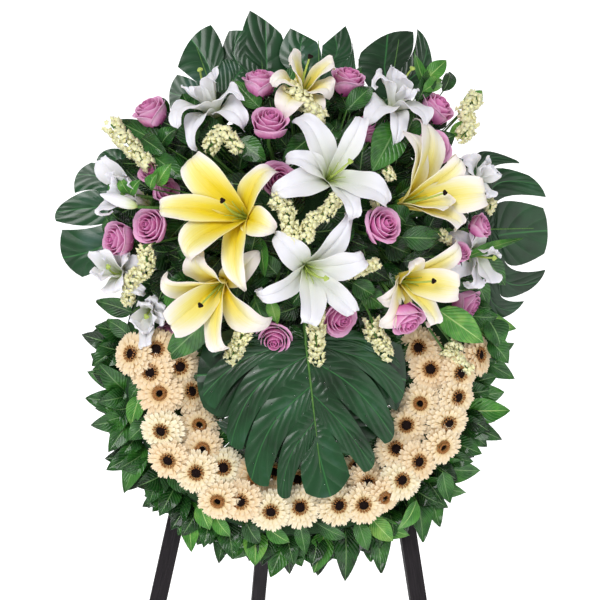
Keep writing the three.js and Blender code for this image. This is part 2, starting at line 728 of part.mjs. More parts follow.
function addEasel() {
  for (const [name, side] of [['front_leg_left', -1], ['front_leg_right', 1]]) {
    addMesh(name, frontLeg(side), 'black_wood');
  }
  addMesh('head_block', rail(HEAD_BLOCK), 'black_wood');
  addMesh('upper_rail', rail(UPPER_RAIL), 'black_wood');
  addMesh('lower_rail', rail(LOWER_RAIL), 'black_wood');
  addMesh('rear_leg', rearLeg(), 'black_wood');
  addMesh('hinge_leaf_fixed', hingeLeafFixed(), 'steel');
  addMesh('hinge_leaf_moving', hingeLeafMoving(), 'steel');
  addMesh('hinge_pin', hingePin(), 'steel');
  for (const [name, side] of [['ring_peg_left', -1], ['ring_peg_right', 1]]) {
    addMesh(name, peg(side, 0), 'black_wood');
    reserve(peg(side, GAP));
  }
}

function addWreath() {
  addFitted('ring_tray', ringTray, 'tray');
  addFitted('foam_ring', foamRing, 'foam');
  addFitted('spray_foam', sprayFoam, 'foam');
  for (const [name, side] of [['tie_wire_left', -1], ['tie_wire_right', 1]]) {
    addFitted(name, (grow) => tieWire(side, grow), 'wire');
  }
  for (const [name, sizes] of Object.entries(MONSTERAS)) {
    addFitted(name, (grow) => monstera(sizes, grow), 'monstera');
  }
  for (const [name, heads] of Object.entries(GERBERA_CLUMPS)) {
    addFitted(`gerberas_${name}`, (grow) => gerberaClump(heads, grow), 'gerbera');
  }
  for (const [name, sizes] of Object.entries(COLLAR)) {
    addFitted(name, (grow) => collarSprig(sizes, grow), 'foliage');
  }
  for (const [name, sizes] of Object.entries(LILIES)) {
    addFitted(name, (grow) => lily(sizes, grow), name.startsWith('yellow') ? 'yellow_lily' : 'white_lily');
  }
  for (const [name, seen] of Object.entries(ROSES)) {
    addFitted(name, (grow) => rose(seen, grow), 'rose');
  }
  for (const [name, sizes] of Object.entries(STATICE)) {
    addFitted(name, (grow) => statice(sizes, grow), 'statice');
  }
}

addEasel();
addWreath();

// The origin goes on the floor, under the middle of the whole
const part = new THREE.Group();
part.add(upright);
part.updateMatrixWorld(true);
const bounds = new THREE.Box3().setFromObject(part, true);
const centre = bounds.getCenter(new THREE.Vector3());
upright.position.x -= centre.x;
upright.position.y -= centre.y;
part.updateMatrixWorld(true);

export default part;
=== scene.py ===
"""The looks of a standing funeral wreath on its wooden easel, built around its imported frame."""

import json
import logging
import math
import random
from dataclasses import dataclass, field
from enum import Enum
from typing import Callable, Optional, Sequence, Union

import bmesh
import bpy
from mathutils import Matrix, Vector
from mathutils.kdtree import KDTree

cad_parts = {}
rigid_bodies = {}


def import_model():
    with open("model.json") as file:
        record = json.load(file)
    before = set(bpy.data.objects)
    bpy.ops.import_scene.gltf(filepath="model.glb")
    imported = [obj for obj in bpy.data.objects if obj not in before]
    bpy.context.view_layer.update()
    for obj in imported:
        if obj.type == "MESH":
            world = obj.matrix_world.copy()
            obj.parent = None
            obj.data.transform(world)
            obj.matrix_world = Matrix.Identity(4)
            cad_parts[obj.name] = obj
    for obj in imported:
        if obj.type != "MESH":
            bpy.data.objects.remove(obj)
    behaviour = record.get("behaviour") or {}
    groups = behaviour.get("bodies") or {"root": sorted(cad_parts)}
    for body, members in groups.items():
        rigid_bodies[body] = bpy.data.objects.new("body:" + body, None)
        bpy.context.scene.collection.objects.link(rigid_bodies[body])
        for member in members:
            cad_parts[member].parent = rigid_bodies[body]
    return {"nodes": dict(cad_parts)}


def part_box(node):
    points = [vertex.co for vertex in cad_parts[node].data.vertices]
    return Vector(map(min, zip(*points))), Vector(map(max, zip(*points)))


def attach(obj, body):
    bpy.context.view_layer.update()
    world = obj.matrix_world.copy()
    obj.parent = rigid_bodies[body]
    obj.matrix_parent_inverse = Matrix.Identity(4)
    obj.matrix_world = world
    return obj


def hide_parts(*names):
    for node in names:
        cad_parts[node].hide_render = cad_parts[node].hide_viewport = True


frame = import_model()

LOG = logging.getLogger("wreath")
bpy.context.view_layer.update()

Shape = Callable[[float, float], Vector]
Path = Callable[[float], Vector]
Seen = tuple[float, float]
Way = tuple[float, float, float]
Colour = tuple[float, float, float, float]
Stops = tuple[tuple[float, str], ...]
Mesh = bpy.types.Mesh
Tree = bpy.types.NodeTree
Output = bpy.types.NodeSocket
Relief = Optional[tuple[Output, float]]

MM = 0.001
STAND = "stand"
GOLDEN_ANGLE = math.radians(137.5)

# Places are in the wreath's frame, in millimetres: x to the right, y up along the front legs, z
# out from the legs towards the viewer, from the ring's centre.
LEAN = math.radians(12)
TRAY_MIDDLE = 12.3
RING_RADIUS = 250.0
FOAM_HALF_WIDTH = 50.0
FOAM_HEIGHT = 46.0
FOAM_TOP = 46.3
GAP = 0.3
LEG_SLOPE = 0.19

LEAF_SLOTS = ["foliage_leaf", "young_leaf", "leaf_stem"]
ROSE_SLOTS = ["rose_petal", "leaf_stem", "foliage_leaf"]
GERBERA_SLOTS = ["gerbera_petal", "inner_florets", "dark_florets", "leaf_stem"]

# The viewer: an upright sheet through the ring's centre faces them
VIEW_DISTANCE = 2100.0
VIEW_MIDDLE = 105.0
VIEW_SIDE = math.radians(7.5)
VIEW_TURN = math.radians(1.8)


def smooth(value: float) -> float:
    """Eases a value from 0 to 1, and holds it there outside that range."""
    value = min(1.0, max(0.0, value))
    return value * value * (3 - 2 * value)


def linear(colour: str) -> Colour:
    """Turns an sRGB hex colour to linear.

    Args:
        colour: six hex digits, with or without a hash.

    Returns:
        Red, green, blue and an alpha of 1.
    """
    digits = colour.lstrip("#")
    parts = [int(digits[i:i + 2], 16) / 255 for i in (0, 2, 4)]
    out = [p / 12.92 if p <= 0.04045 else ((p + 0.055) / 1.055) ** 2.4 for p in parts]
    return out[0], out[1], out[2], 1.0


def wreath_frame() -> Matrix:
    """Works out the turn and place from the wreath's frame in millimetres to the row frame."""
    up = Vector((0, math.sin(LEAN), math.cos(LEAN)))
    out = Vector((0, -math.cos(LEAN), math.sin(LEAN)))
    low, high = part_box("ring_tray")
    centre = (low + high) / 2 - out * TRAY_MIDDLE * MM
    basis = Matrix((Vector((1, 0, 0)), up, out)).transposed()
    return Matrix.Translation(centre) @ (basis * MM).to_4x4()


WREATH = wreath_frame()


class Sight:
    """The viewer's eye and picture axes, in the wreath's frame."""

    def __init__(self) -> None:
        """Places the eye level with the picture's middle, to the left of the wreath."""
        self.middle = Vector((0, VIEW_MIDDLE, 0))
        self.back = Vector((-math.sin(VIEW_SIDE), 0, math.cos(VIEW_SIDE)))
        self.eye = self.middle + self.back * VIEW_DISTANCE
        right = Vector((math.cos(VIEW_SIDE), 0, math.sin(VIEW_SIDE)))
        up = Vector((0, 1, 0))
        cos, sin = math.cos(VIEW_TURN), math.sin(VIEW_TURN)
        self.right = right * cos + up * sin
        self.up = up * cos - right * sin

    def at(self, seen: Seen, depth: float) -> Vector:
        """Finds a place from how it is seen.

        Args:
            seen: across and up on the sheet through the ring's centre.
            depth: the place's distance out from the legs.

        Returns:
            The place on the line of sight at that depth.
        """
        sheet = self.middle + self.right * seen[0] + self.up * (seen[1] - VIEW_MIDDLE)
        ray = sheet - self.eye
        return self.eye + ray * ((depth - self.eye.z) / ray.z)


SIGHT = Sight()


@dataclass(frozen=True)
class SprayDome:
    """The rounded front of the spray of flowers over the ring's top."""

    x: float = -12
    up: float = 280
    half_width: float = 380
    half_height: float = 290
    edge: float = 45
    swell: float = 150
    foam_half_width: float = 160
    foam_low: float = 198
    foam_high: float = 302
    foam_depth: float = 62

    def depth(self, seen: Seen) -> float:
        """Gives the front's distance out from the legs at a place as seen."""
        side = (seen[0] - self.x) / self.half_width
        rise = (seen[1] - self.up) / self.half_height
        return self.edge + self.swell * math.sqrt(max(0.03, 1 - side * side - rise * rise))

    def facing(self, place: Vector, lean: float = 0.9) -> Vector:
        """Gives the way that a flower at a place faces."""
        side = (place.x - self.x) / self.half_width
        rise = (place.y - self.up) / self.half_height
        return Vector((lean * side, lean * rise, 1)).normalized()

    def anchor(self, place: Vector) -> Vector:
        """Gives the point in the foam block where a flower's stem ends."""
        middle = (self.foam_low + self.foam_high) / 2
        x = min(135.0, max(-135.0, place.x * 0.45))
        up = middle + min(36.0, max(-36.0, (place.y - middle) * 0.3))
        return Vector((x, up, FOAM_HEIGHT + self.foam_depth / 2))


DOME = SprayDome()


# Finishes

Inputs = dict[str, object]


def add_node(tree: Tree, kind: str, inputs: Optional[Inputs] = None,
             **settings: object) -> bpy.types.Node:
    """Adds a node with its settings, values and links.

    Args:
        tree: the node tree.
        kind: the node's type.
        inputs: a value, or an output to link, for each input by its name or number.
        **settings: the node's own properties.

    Returns:
        The new node.
    """
    node = tree.nodes.new(kind)
    for name, value in settings.items():
        setattr(node, name, value)
    for socket, value in (inputs or {}).items():
        if isinstance(value, Output):
            tree.links.new(value, node.inputs[socket])
        else:
            node.inputs[socket].default_value = value
    return node


def ramp(tree: Tree, factor: Output, stops: Stops) -> Output:
    """Colours a value by a row of stops, each a position and an sRGB colour.

    Args:
        tree: the node tree.
        factor: the value to colour.
        stops: each position with its sRGB colour.

    Returns:
        The colour's output.
    """
    node = add_node(tree, "ShaderNodeValToRGB", {"Fac": factor})
    elements = node.color_ramp.elements
    while len(elements) < len(stops):
        elements.new(0.5)
    for element, (position, colour) in zip(elements, stops):
        element.position = position
        element.color = linear(colour)
    return node.outputs["Color"]


def math_of(tree: Tree, operation: str, *values: object) -> Output:
    """Works one sum on values or outputs."""
    return add_node(tree, "ShaderNodeMath", dict(enumerate(values)), operation=operation).outputs[0]


@dataclass(frozen=True)
class Finish:
    """A material with one shader, and the settings that are the same all over it."""

    name: str
    roughness: float
    metallic: float = 0.0
    specular: float = 0.5
    subsurface: float = 0.0
    coat: float = 0.0
    transmission: float = 0.0

    def colour(self, tree: Tree) -> Union[Output, Colour]:
        """Makes the colour's output, or gives the one colour; each finish has its own."""
        raise NotImplementedError

    def height(self, tree: Tree) -> Relief:
        """Makes the relief's output and gives its depth in metres, where there is one."""
        return None

    def build(self) -> bpy.types.Material:
        """Builds the material."""
        material = bpy.data.materials.new(self.name)
        material.use_nodes = True
        tree = material.node_tree
        tree.nodes.clear()
        inputs: Inputs = {
            "Base Color": self.colour(tree), "Roughness": self.roughness, "Metallic": self.metallic,
            "Specular IOR Level": self.specular, "Coat Weight": self.coat,
            "Subsurface Weight": self.subsurface, "Transmission Weight": self.transmission,
            "IOR": 1.33 if self.transmission else 1.45,
            "Subsurface Radius": (0.004, 0.003, 0.002), "Subsurface Scale": 1.0,
        }
        relief = self.height(tree)
        if relief:
            bump = add_node(tree, "ShaderNodeBump", {"Height": relief[0], "Distance": relief[1]})
            inputs["Normal"] = bump.outputs["Normal"]
        shader = add_node(tree, "ShaderNodeBsdfPrincipled", inputs)
        add_node(tree, "ShaderNodeOutputMaterial", {"Surface": shader.outputs["BSDF"]})
        return material


def uv_parts(tree: Tree) -> tuple[Output, Output]:
    """Gives a sheet's own coordinates: across, and along from its base to its tip."""
    uv = add_node(tree, "ShaderNodeUVMap", uv_map="UVMap")
    parts = add_node(tree, "ShaderNodeSeparateXYZ", {0: uv.outputs["UV"]})
    return parts.outputs["X"], parts.outputs["Y"]


def streaks(tree: Tree, across: float, along: float) -> Output:
    """Makes fine lines that run along a petal, so many across it.

    Args:
        tree: the node tree.
        across: how many across the petal.
        along: how many along it.

    Returns:
        The lines' output.
    """
    uv = add_node(tree, "ShaderNodeUVMap", uv_map="UVMap")
    mapping = add_node(tree, "ShaderNodeMapping",
                       {"Vector": uv.outputs["UV"], "Scale": (across, along, 1.0)})
    noise = add_node(tree, "ShaderNodeTexNoise",
                     {"Vector": mapping.outputs["Vector"], "Scale": 1.0, "Detail": 2.0})
    return noise.outputs["Fac"]


def from_middle(tree: Tree, across: Output) -> Output:
    """Gives the distance from a sheet's middle line: 0 there and 1 at its edges."""
    return math_of(tree, "ABSOLUTE", math_of(tree, "MULTIPLY_ADD", across, 2.0, -1.0))


def tone_of(tree: Tree) -> Output:
    """Reads the tone that each head or leaf was given."""
    return add_node(tree, "ShaderNodeAttribute", attribute_name="tone").outputs["Fac"]


@dataclass(frozen=True)
class PetalFinish(Finish):
    """A fresh petal: a velvety skin that lets some light in, coloured from throat to tip.

    The tone shifts the colours along the petal, the rim is paler than the middle, and fine
    lengthwise veins about a millimetre apart break the surface.
    """

    stops: Stops = ()
    rim: float = 0.15
    shift: float = 0.4
    veins: float = 30.0
    relief: float = 0.0004

    def colour(self, tree: Tree) -> Output:
        """Colours the petal by its length, its rim, its tone and its veins."""
        across, along = uv_parts(tree)
        off = from_middle(tree, across)
        rim = math_of(tree, "MULTIPLY", math_of(tree, "MULTIPLY", off, off), self.rim)
        tone = math_of(tree, "MULTIPLY_ADD", tone_of(tree), -self.shift, self.shift / 2)
        vein = math_of(tree, "MULTIPLY_ADD", streaks(tree, self.veins, 2.0), 0.24, -0.12)
        base = math_of(tree, "ADD", along, rim)
        total = math_of(tree, "ADD", base, math_of(tree, "ADD", tone, vein))
        return ramp(tree, total, self.stops)

    def height(self, tree: Tree) -> Relief:
        """Raises the veins."""
        return streaks(tree, self.veins, 2.0), self.relief


@dataclass(frozen=True)
class TonedFinish(Finish):
    """A petal in one of two colourings, which the tone mixes: each runs from base to tip."""

    pale: Stops = ()
    deep: Stops = ()
    veins: float = 9.0
    relief: float = 0.0004

    def colour(self, tree: Tree) -> Output:
        """Mixes the two colourings."""
        along = uv_parts(tree)[1]
        vein = math_of(tree, "MULTIPLY_ADD", streaks(tree, self.veins, 1.5), 0.3, -0.15)
        place = math_of(tree, "ADD", along, vein)
        mix = add_node(tree, "ShaderNodeMix", {
            0: tone_of(tree), 6: ramp(tree, place, self.pale), 7: ramp(tree, place, self.deep),
        }, data_type="RGBA")
        return mix.outputs[2]

    def height(self, tree: Tree) -> Relief:
        """Raises the lengthwise ribs."""
        return streaks(tree, self.veins, 1.5), self.relief


@dataclass(frozen=True)
class LeafFinish(Finish):
    """A waxy leaf: dark green, with a pale midrib and side veins that run towards the tip, and soft
    patches of painted sheen.
    """

    dark: str = "#12351b"
    light: str = "#2f6b2c"
    bright: str = "#4c8a3c"
    vein: str = "#7da35a"
    count: float = 9.0
    slant: float = 0.35
    vein_width: float = 0.05
    midrib: float = 0.03
    side_strength: float = 0.35
    patch_mm: float = 22.0
    relief: float = 0.0012

    def vein_field(self, tree: Tree) -> tuple[Output, Output]:
        """Gives the distance from the midrib, and that from the middle between two side veins."""
        across, along = uv_parts(tree)
        off = from_middle(tree, across)
        slanted = math_of(tree, "MULTIPLY_ADD", off, -self.slant, along)
        phase = math_of(tree, "FRACT", math_of(tree, "MULTIPLY", slanted, self.count))
        return off, math_of(tree, "ABSOLUTE", math_of(tree, "SUBTRACT", phase, 0.5))

    def vein_mask(self, tree: Tree) -> Output:
        """Makes a value that is 1 on a vein and falls to 0 beside it."""
        off, away = self.vein_field(tree)
        side = add_node(tree, "ShaderNodeMapRange", {
            "Value": away, "From Min": 0.5 - 2 * self.vein_width, "From Max": 0.5,
        }, interpolation_type="SMOOTHSTEP").outputs["Result"]
        rib = add_node(tree, "ShaderNodeMapRange", {
            "Value": off, "From Min": 2 * self.midrib, "From Max": self.midrib,
        }, interpolation_type="SMOOTHSTEP").outputs["Result"]
        return math_of(tree, "MAXIMUM", math_of(tree, "MULTIPLY", side, self.side_strength), rib)

    def colour(self, tree: Tree) -> Output:
        """Mixes dark and light greens and a painted sheen in soft patches, and lays the veins over
        them.
        """
        spot = add_node(tree, "ShaderNodeTexCoord").outputs["Object"]
        patches = add_node(tree, "ShaderNodeTexNoise", {
            "Vector": spot, "Scale": 1 / (self.patch_mm * MM), "Detail": 3.0,
        }).outputs["Fac"]
        spread = math_of(tree, "MULTIPLY_ADD", patches, 1.8, -0.9)
        # The ramp's top stop is a painted sheen, which the patches bring up here and there
        greens_and_sheen = ramp(tree, math_of(tree, "ADD", tone_of(tree), spread),
                      ((0.0, self.dark), (0.6, self.light), (1.1, self.bright)))
        mix = add_node(tree, "ShaderNodeMix", {
            0: self.vein_mask(tree), 6: greens_and_sheen, 7: linear(self.vein),
        }, data_type="RGBA")
        return mix.outputs[2]

    def height(self, tree: Tree) -> Relief:
        """Sinks the veins and puffs the blade between them."""
        off, away = self.vein_field(tree)
        puff = math_of(tree, "MULTIPLY_ADD", math_of(tree, "MULTIPLY", away, away), -4.0, 1.0)
        rib = math_of(tree, "MINIMUM", math_of(tree, "MULTIPLY", off, 5.0), 1.0)
        return math_of(tree, "MULTIPLY", puff, rib), self.relief


@dataclass(frozen=True)
class SpeckledFinish(Finish):
    """A body of one colour with finer specks of another, by the specks' real size."""

    base: str = "#808080"
    speck: str = "#404040"
    speck_mm: float = 2.0
    stretch: Way = (1.0, 1.0, 1.0)
    direction: Optional[Way] = None
    contrast: float = 0.2
    relief: float = 0.0003

    def pattern(self, tree: Tree) -> Output:
        """Makes the specks, drawn out along the piece's own direction where it has one."""
        vector = add_node(tree, "ShaderNodeTexCoord").outputs["Object"]
        if self.direction:
            turn = Vector(self.direction).rotation_difference(Vector((0, 0, 1))).to_euler()
            vector = add_node(tree, "ShaderNodeMapping",
                              {"Vector": vector, "Rotation": turn}).outputs["Vector"]
        scale = 1 / (self.speck_mm * MM)
        stretched = add_node(tree, "ShaderNodeMapping", {
            "Vector": vector, "Scale": tuple(scale * s for s in self.stretch),
        }).outputs["Vector"]
        return add_node(tree, "ShaderNodeTexNoise",
                        {"Vector": stretched, "Scale": 1.0, "Detail": 4.0}).outputs["Fac"]

    def colour(self, tree: Tree) -> Output:
        """Lays the specks over the base colour."""
        low, high = 0.5 - self.contrast, 0.5 + self.contrast
        return ramp(tree, self.pattern(tree), ((low, self.speck), (high, self.base)))

    def height(self, tree: Tree) -> Relief:
        """Raises the base above the specks."""
        return self.pattern(tree), self.relief


@dataclass(frozen=True)
class WaterFinish(Finish):
    """Drops of clear water, sprayed on to keep the leaves fresh."""

    def colour(self, tree: Tree) -> Colour:
        """Water has no colour of its own."""
        return linear("#ffffff")


class Finishes:
    """Every finish on the object, built once and looked up by name."""

    def __init__(self) -> None:
        """Builds the materials."""
        # Gerbera petals: matt cream to peach ribbons, ribbed lengthwise
        gerbera = TonedFinish(
            "gerbera_petal", 0.62, specular=0.25, subsurface=0.12,
            pale=((0.0, "c9a25a"), (0.14, "ecd79c"), (0.45, "f5e4b4"), (1.0, "fbf1d6")),
            deep=((0.0, "b98548"), (0.16, "e9c084"), (0.5, "f1cc99"), (1.0, "f6dcb9")))
        # Yellow lily: waxy lemon petals that pale to cream at rim and tip
        yellow = PetalFinish(
            "yellow_lily_petal", 0.45, specular=0.35, subsurface=0.15, rim=0.34, shift=1.0,
            stops=((0.0, "8f9a22"), (0.12, "dcc022"), (0.38, "efd42c"), (0.62, "f3e68c"),
                   (0.86, "f5efdc"), (1.2, "f6ece6")))
        # White lily: waxy cool white, greenish in the throat
        white = PetalFinish(
            "white_lily_petal", 0.45, specular=0.35, subsurface=0.18, rim=0.05, shift=0.1,
            stops=((0.0, "9fb35c"), (0.12, "ccd6a2"), (0.3, "e4e6de"), (0.6, "eceaf0"),
                   (1.0, "efedf4")))
        # Rose: velvety mauve, deep magenta low in the cup and paler at the lip; both are partly the
        # rose's own colour and partly painted light: painted shade in the cup, a painted highlight
        # at the lip
        rose = PetalFinish(
            "rose_petal", 0.55, specular=0.25, subsurface=0.12, rim=0.1, shift=0.75, veins=22,
            stops=((0.0, "84205c"), (0.4, "b9478f"), (0.65, "d977b4"), (0.85, "e698c8"),
                   (1.1, "f0b8dc")))
        self.made: dict[str, bpy.types.Material] = {}
        for finish in (
            gerbera, yellow, white, rose,
            # Gerbera discs and the yellow lilies' pistil tips: velvety dark brown
            SpeckledFinish("dark_florets", 0.8, specular=0.2, base="#24110e", speck="#0e0606",
                           speck_mm=1.2),
            # The fuzzy inner ring of a gerbera: short peach florets
            SpeckledFinish("inner_florets", 0.75, specular=0.2, base="#b9834c", speck="#7c4a24",
                           speck_mm=1.5, subsurface=0.1),
            # Statice: dry papery cups, cream to lemon
            SpeckledFinish("statice_floret", 0.8, specular=0.2, base="#fffcd8", speck="#fbf6b6",
                           speck_mm=2.5, subsurface=0.25),
            # Monstera: thick waxed blade, dark, with a bluish sheen painted into its colour in soft
            # patches, puffed between veins
            LeafFinish("monstera_leaf", 0.3, coat=0.2, dark="#092a0f", light="#1a4a26",
                       bright="#44655a", vein="#2c6a34", count=6.0, slant=0.3, vein_width=0.06,
                       midrib=0.02, side_strength=0.12, relief=0.0012, patch_mm=60),
            # Collar and filler leaves: glossy dark green with pale veins, and a brighter green
            # painted sheen in soft patches
            LeafFinish("foliage_leaf", 0.27, coat=0.35, dark="#0a2a0e", light="#235c1e",
                       bright="#3f7d2c", vein="#6d9457", relief=0.0011),
            # Young leaves: softer and yellower, with a paler painted sheen in soft patches
            LeafFinish("young_leaf", 0.3, coat=0.25, dark="#246a18", light="#4c9430",
                       bright="#7fb04a", vein="#a3c473", relief=0.0011),
            # Sprayed water: clear round drops
            WaterFinish("water", 0.02, transmission=1.0),
            # Cut stems and twigs: smooth mid green, streaked lengthwise
            SpeckledFinish("leaf_stem", 0.5, base="#5c8a3c", speck="#3f6a2c", speck_mm=2.0,
                           stretch=(1, 1, 0.15)),
            # Lily pistils and filaments: moist pale yellow-green
            SpeckledFinish("lily_pistil", 0.45, base="#b9cc6a", speck="#9fb64e", speck_mm=2.0,
                           subsurface=0.1),
            # Ring tray: moulded dark green plastic, slightly dull
            SpeckledFinish("tray_plastic", 0.5, base="#24472d", speck="#1c3a25", speck_mm=3.0,
                           relief=0.0001),
            # Wet floral foam: dark green, with the fine open pores of phenolic foam
            SpeckledFinish("wet_foam", 0.9, specular=0.2, base="#3f5f3a", speck="#26402a",
                           speck_mm=1.6, relief=0.0006),
            # Hinge: pressed bare steel, lightly brushed
            SpeckledFinish("hinge_steel", 0.42, metallic=1.0, base="#9a9c9f", speck="#7d7f83",
                           speck_mm=2.0, relief=0.00005),
            # Ties: green lacquered florist's wire
            SpeckledFinish("tie_wire", 0.45, metallic=0.6, base="#3f4d3b", speck="#2c382b",
                           speck_mm=1.0, relief=0.00005),
        ):
            self.made[finish.name] = finish.build()

    def get(self, name: str) -> bpy.types.Material:
        """Gives a material by its name."""
        return self.made[name]

    def wood(self, name: str, direction: Way) -> bpy.types.Material:
        """Builds the battens' finish, with its grain along one direction.

        Args:
            name: the material's name.
            direction: the way the grain runs, in the row frame.

        Returns:
            Rough-sawn softwood under a thin black stain: grain lines 1.5 mm apart.
        """
        finish = SpeckledFinish(name, 0.72, specular=0.3, base="#2a2429", speck="#0b090c",
                                speck_mm=1.5, stretch=(1.0, 1.0, 0.04), direction=direction,
                                contrast=0.28, relief=0.0006)
        return finish.build()


# Shapes

def new_shape() -> bmesh.types.BMesh:
    """Starts a shape, with room for its sheets' own coordinates."""
    bm = bmesh.new()
    bm.loops.layers.uv.new("UVMap")
    return bm


def to_mesh(bm: bmesh.types.BMesh) -> Mesh:
    """Turns a bmesh to a mesh and frees it."""
    mesh = bpy.data.meshes.new("shape")
    bm.to_mesh(mesh)
    bm.free()
    return mesh


def sharpen(bm: bmesh.types.BMesh, angle: float = 0.9) -> None:
    """Keeps the shading crisp where two faces meet at more than an angle in radians.

    Args:
        bm: the shape.
        angle: the least angle that counts as crisp.
    """
    for edge in bm.edges:
        if len(edge.link_faces) == 2 and edge.calc_face_angle(0.0) > angle:
            edge.smooth = False


def grid(bm: bmesh.types.BMesh, shape: Shape, across: int, along: int) -> None:
    """Adds a sheet whose points lie where shape(across, along) puts them, both from 0 to 1.

    Args:
        bm: the shape.
        shape: the point at each share across and along.
        across: faces from side to side.
        along: faces from base to tip.
    """
    made = bmesh.ops.create_grid(bm, x_segments=across, y_segments=along, size=0.5, calc_uvs=True)
    for vert in made["verts"]:
        vert.co = shape(vert.co.x + 0.5, vert.co.y + 0.5)


def sheet(shape: Shape, across: int, along: int, thickness: float) -> Mesh:
    """Makes a thin closed blade from a curved sheet.

    Args:
        shape: the point at each share across and along.
        across: faces from side to side.
        along: faces from base to tip.
        thickness: how thick the blade is, in millimetres.

    Returns:
        The blade's mesh.
    """
    bm = new_shape()
    grid(bm, shape, across, along)
    thicken(bm, thickness)
    return to_mesh(bm)


def thicken(bm: bmesh.types.BMesh, thickness: float, weld: float = 0.02) -> None:
    """Welds a sheet's doubles and gives it a closed wall.

    Where a sheet folds tightly, its offset corners shoot far out: they are brought back.

    Args:
        bm: the shape.
        thickness: the wall's thickness.
        weld: how near two points are to be one.
    """
    bmesh.ops.remove_doubles(bm, verts=bm.verts[:], dist=weld)
    bmesh.ops.recalc_face_normals(bm, faces=bm.faces[:])
    flat = KDTree(len(bm.verts))
    for i, vert in enumerate(bm.verts):
        flat.insert(vert.co, i)
    flat.balance()
    bmesh.ops.solidify(bm, geom=bm.faces[:], thickness=thickness)
    for vert in bm.verts:
        near, _, gap = flat.find(vert.co)
        if gap > 1.8 * thickness:
            vert.co = near + (vert.co - near).normalized() * thickness
    bmesh.ops.recalc_face_normals(bm, faces=bm.faces[:])
    sharpen(bm)


def tube(path: Path, radius: Callable[[float], float], sides: int, steps: int) -> Mesh:
    """Makes a closed round stem along a path.

    Args:
        path: the stem's middle line, from 0 to 1.
        radius: the stem's radius along it.
        sides: faces round it.
        steps: faces along it.

    Returns:
        The stem's mesh.
    """
    first = (path(0.02) - path(0)).normalized()
    across = first.orthogonal().normalized()
    near = 0.01

    def shape(s: float, t: float) -> Vector:
        """Gives a point on the stem's skin."""
        ahead = (path(min(1.0, t + near)) - path(max(0.0, t - near))).normalized()
        side = (across - ahead * across.dot(ahead)).normalized()
        other = ahead.cross(side)
        angle = 2 * math.pi * s
        return path(t) + (side * math.cos(angle) + other * math.sin(angle)) * radius(t)

    bm = new_shape()
    grid(bm, shape, sides, steps)
    bmesh.ops.remove_doubles(bm, verts=bm.verts[:], dist=0.001)
    bmesh.ops.holes_fill(bm, edges=[e for e in bm.edges if e.is_boundary], sides=0)
    bmesh.ops.recalc_face_normals(bm, faces=bm.faces[:])
    sharpen(bm)
    return to_mesh(bm)


def bow(start: Vector, pull: Vector, end: Vector) -> Path:
    """Gives a curve from start to end that leans towards pull."""
    return lambda t: start * (1 - t) ** 2 + pull * (2 * t * (1 - t)) + end * t * t


def through(points: Sequence[Vector]) -> Path:
    """Gives an even path through points, as straight stretches."""
    lengths = [(b - a).length for a, b in zip(points, points[1:])]
    total = sum(lengths)

    def path(t: float) -> Vector:
        """Walks the stretches."""
        left = t * total
        for a, b, length in zip(points, points[1:], lengths):
            if left <= length:
                return a.lerp(b, left / length)
            left -= length
        return points[-1].copy()

    return path


def upright(axis: Vector, spin: float = 0.0) -> Matrix:
    """Turns a shape's own up to an axis, after a spin about it."""
    turn = Vector((0, 0, 1)).rotation_difference(axis).to_matrix().to_4x4()
    return turn @ Matrix.Rotation(spin, 4, "Z")


class Model:
    """A piece in the making, in the wreath's frame and in millimetres."""

    def __init__(self, finishes: Sequence[str]) -> None:
        """Starts an empty piece with its finishes' names, in the order of its slots."""
        self.finishes = list(finishes)
        self.bm = new_shape()
        self.tone = self.bm.verts.layers.float.new("tone")

    def add(self, mesh: Mesh, place: Optional[Matrix] = None,
            finish: Optional[str] = None, tone: Optional[float] = None) -> None:
        """Adds a copy of a shape.

        Args:
            mesh: the shape.
            place: where it goes.
            finish: its finish, or None where the shape's own slots stand.
            tone: its tone, or None where the shape has its own.
        """
        first_vert, first_face = len(self.bm.verts), len(self.bm.faces)
        self.bm.from_mesh(mesh)
        self.bm.verts.ensure_lookup_table()
        self.bm.faces.ensure_lookup_table()
        verts = self.bm.verts[first_vert:]
        if place is not None:
            bmesh.ops.transform(self.bm, matrix=place, verts=verts)
        if tone is not None:
            for vert in verts:
                vert[self.tone] = tone
        index = None if finish is None else self.finishes.index(finish)
        for face in self.bm.faces[first_face:]:
            face.smooth = True
            if index is not None:
                face.material_index = index

    def stem(self, path: Path, radius: float, sides: int = 8, steps: int = 8,
             tone: float = 0.5) -> None:
        """Adds a green stem of even thickness along a path."""
        self.add(tube(path, lambda t: radius, sides, steps), None, "leaf_stem", tone)

    def mesh(self) -> Mesh:
        """Ends the work and gives the mesh."""
        return to_mesh(self.bm)


class Workshop:
    """Turns models to pieces that ride on the stand."""

    def __init__(self) -> None:
        """Builds the finishes."""
        self.finishes = Finishes()

    def place(self, name: str, model: Model, slot: str, *nodes: Optional[str]) -> None:
        """Puts a finished piece in the scene.

        Args:
            name: the piece's name.
            model: the piece, in the wreath's frame.
            slot: not used.
            *nodes: the plain solids that it stands for, or None.
        """
        finishes = model.finishes
        mesh = model.mesh()
        mesh.transform(WREATH)
        mesh.name = name
        for finish in finishes:
            mesh.materials.append(self.finishes.get(finish))
        piece = bpy.data.objects.new(name, mesh)
        bpy.context.scene.collection.objects.link(piece)
        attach(piece, STAND)
        nodes = tuple(node for node in nodes if node)
        if nodes:
            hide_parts(*nodes)
        LOG.info("%s: %d faces", name, len(mesh.polygons))


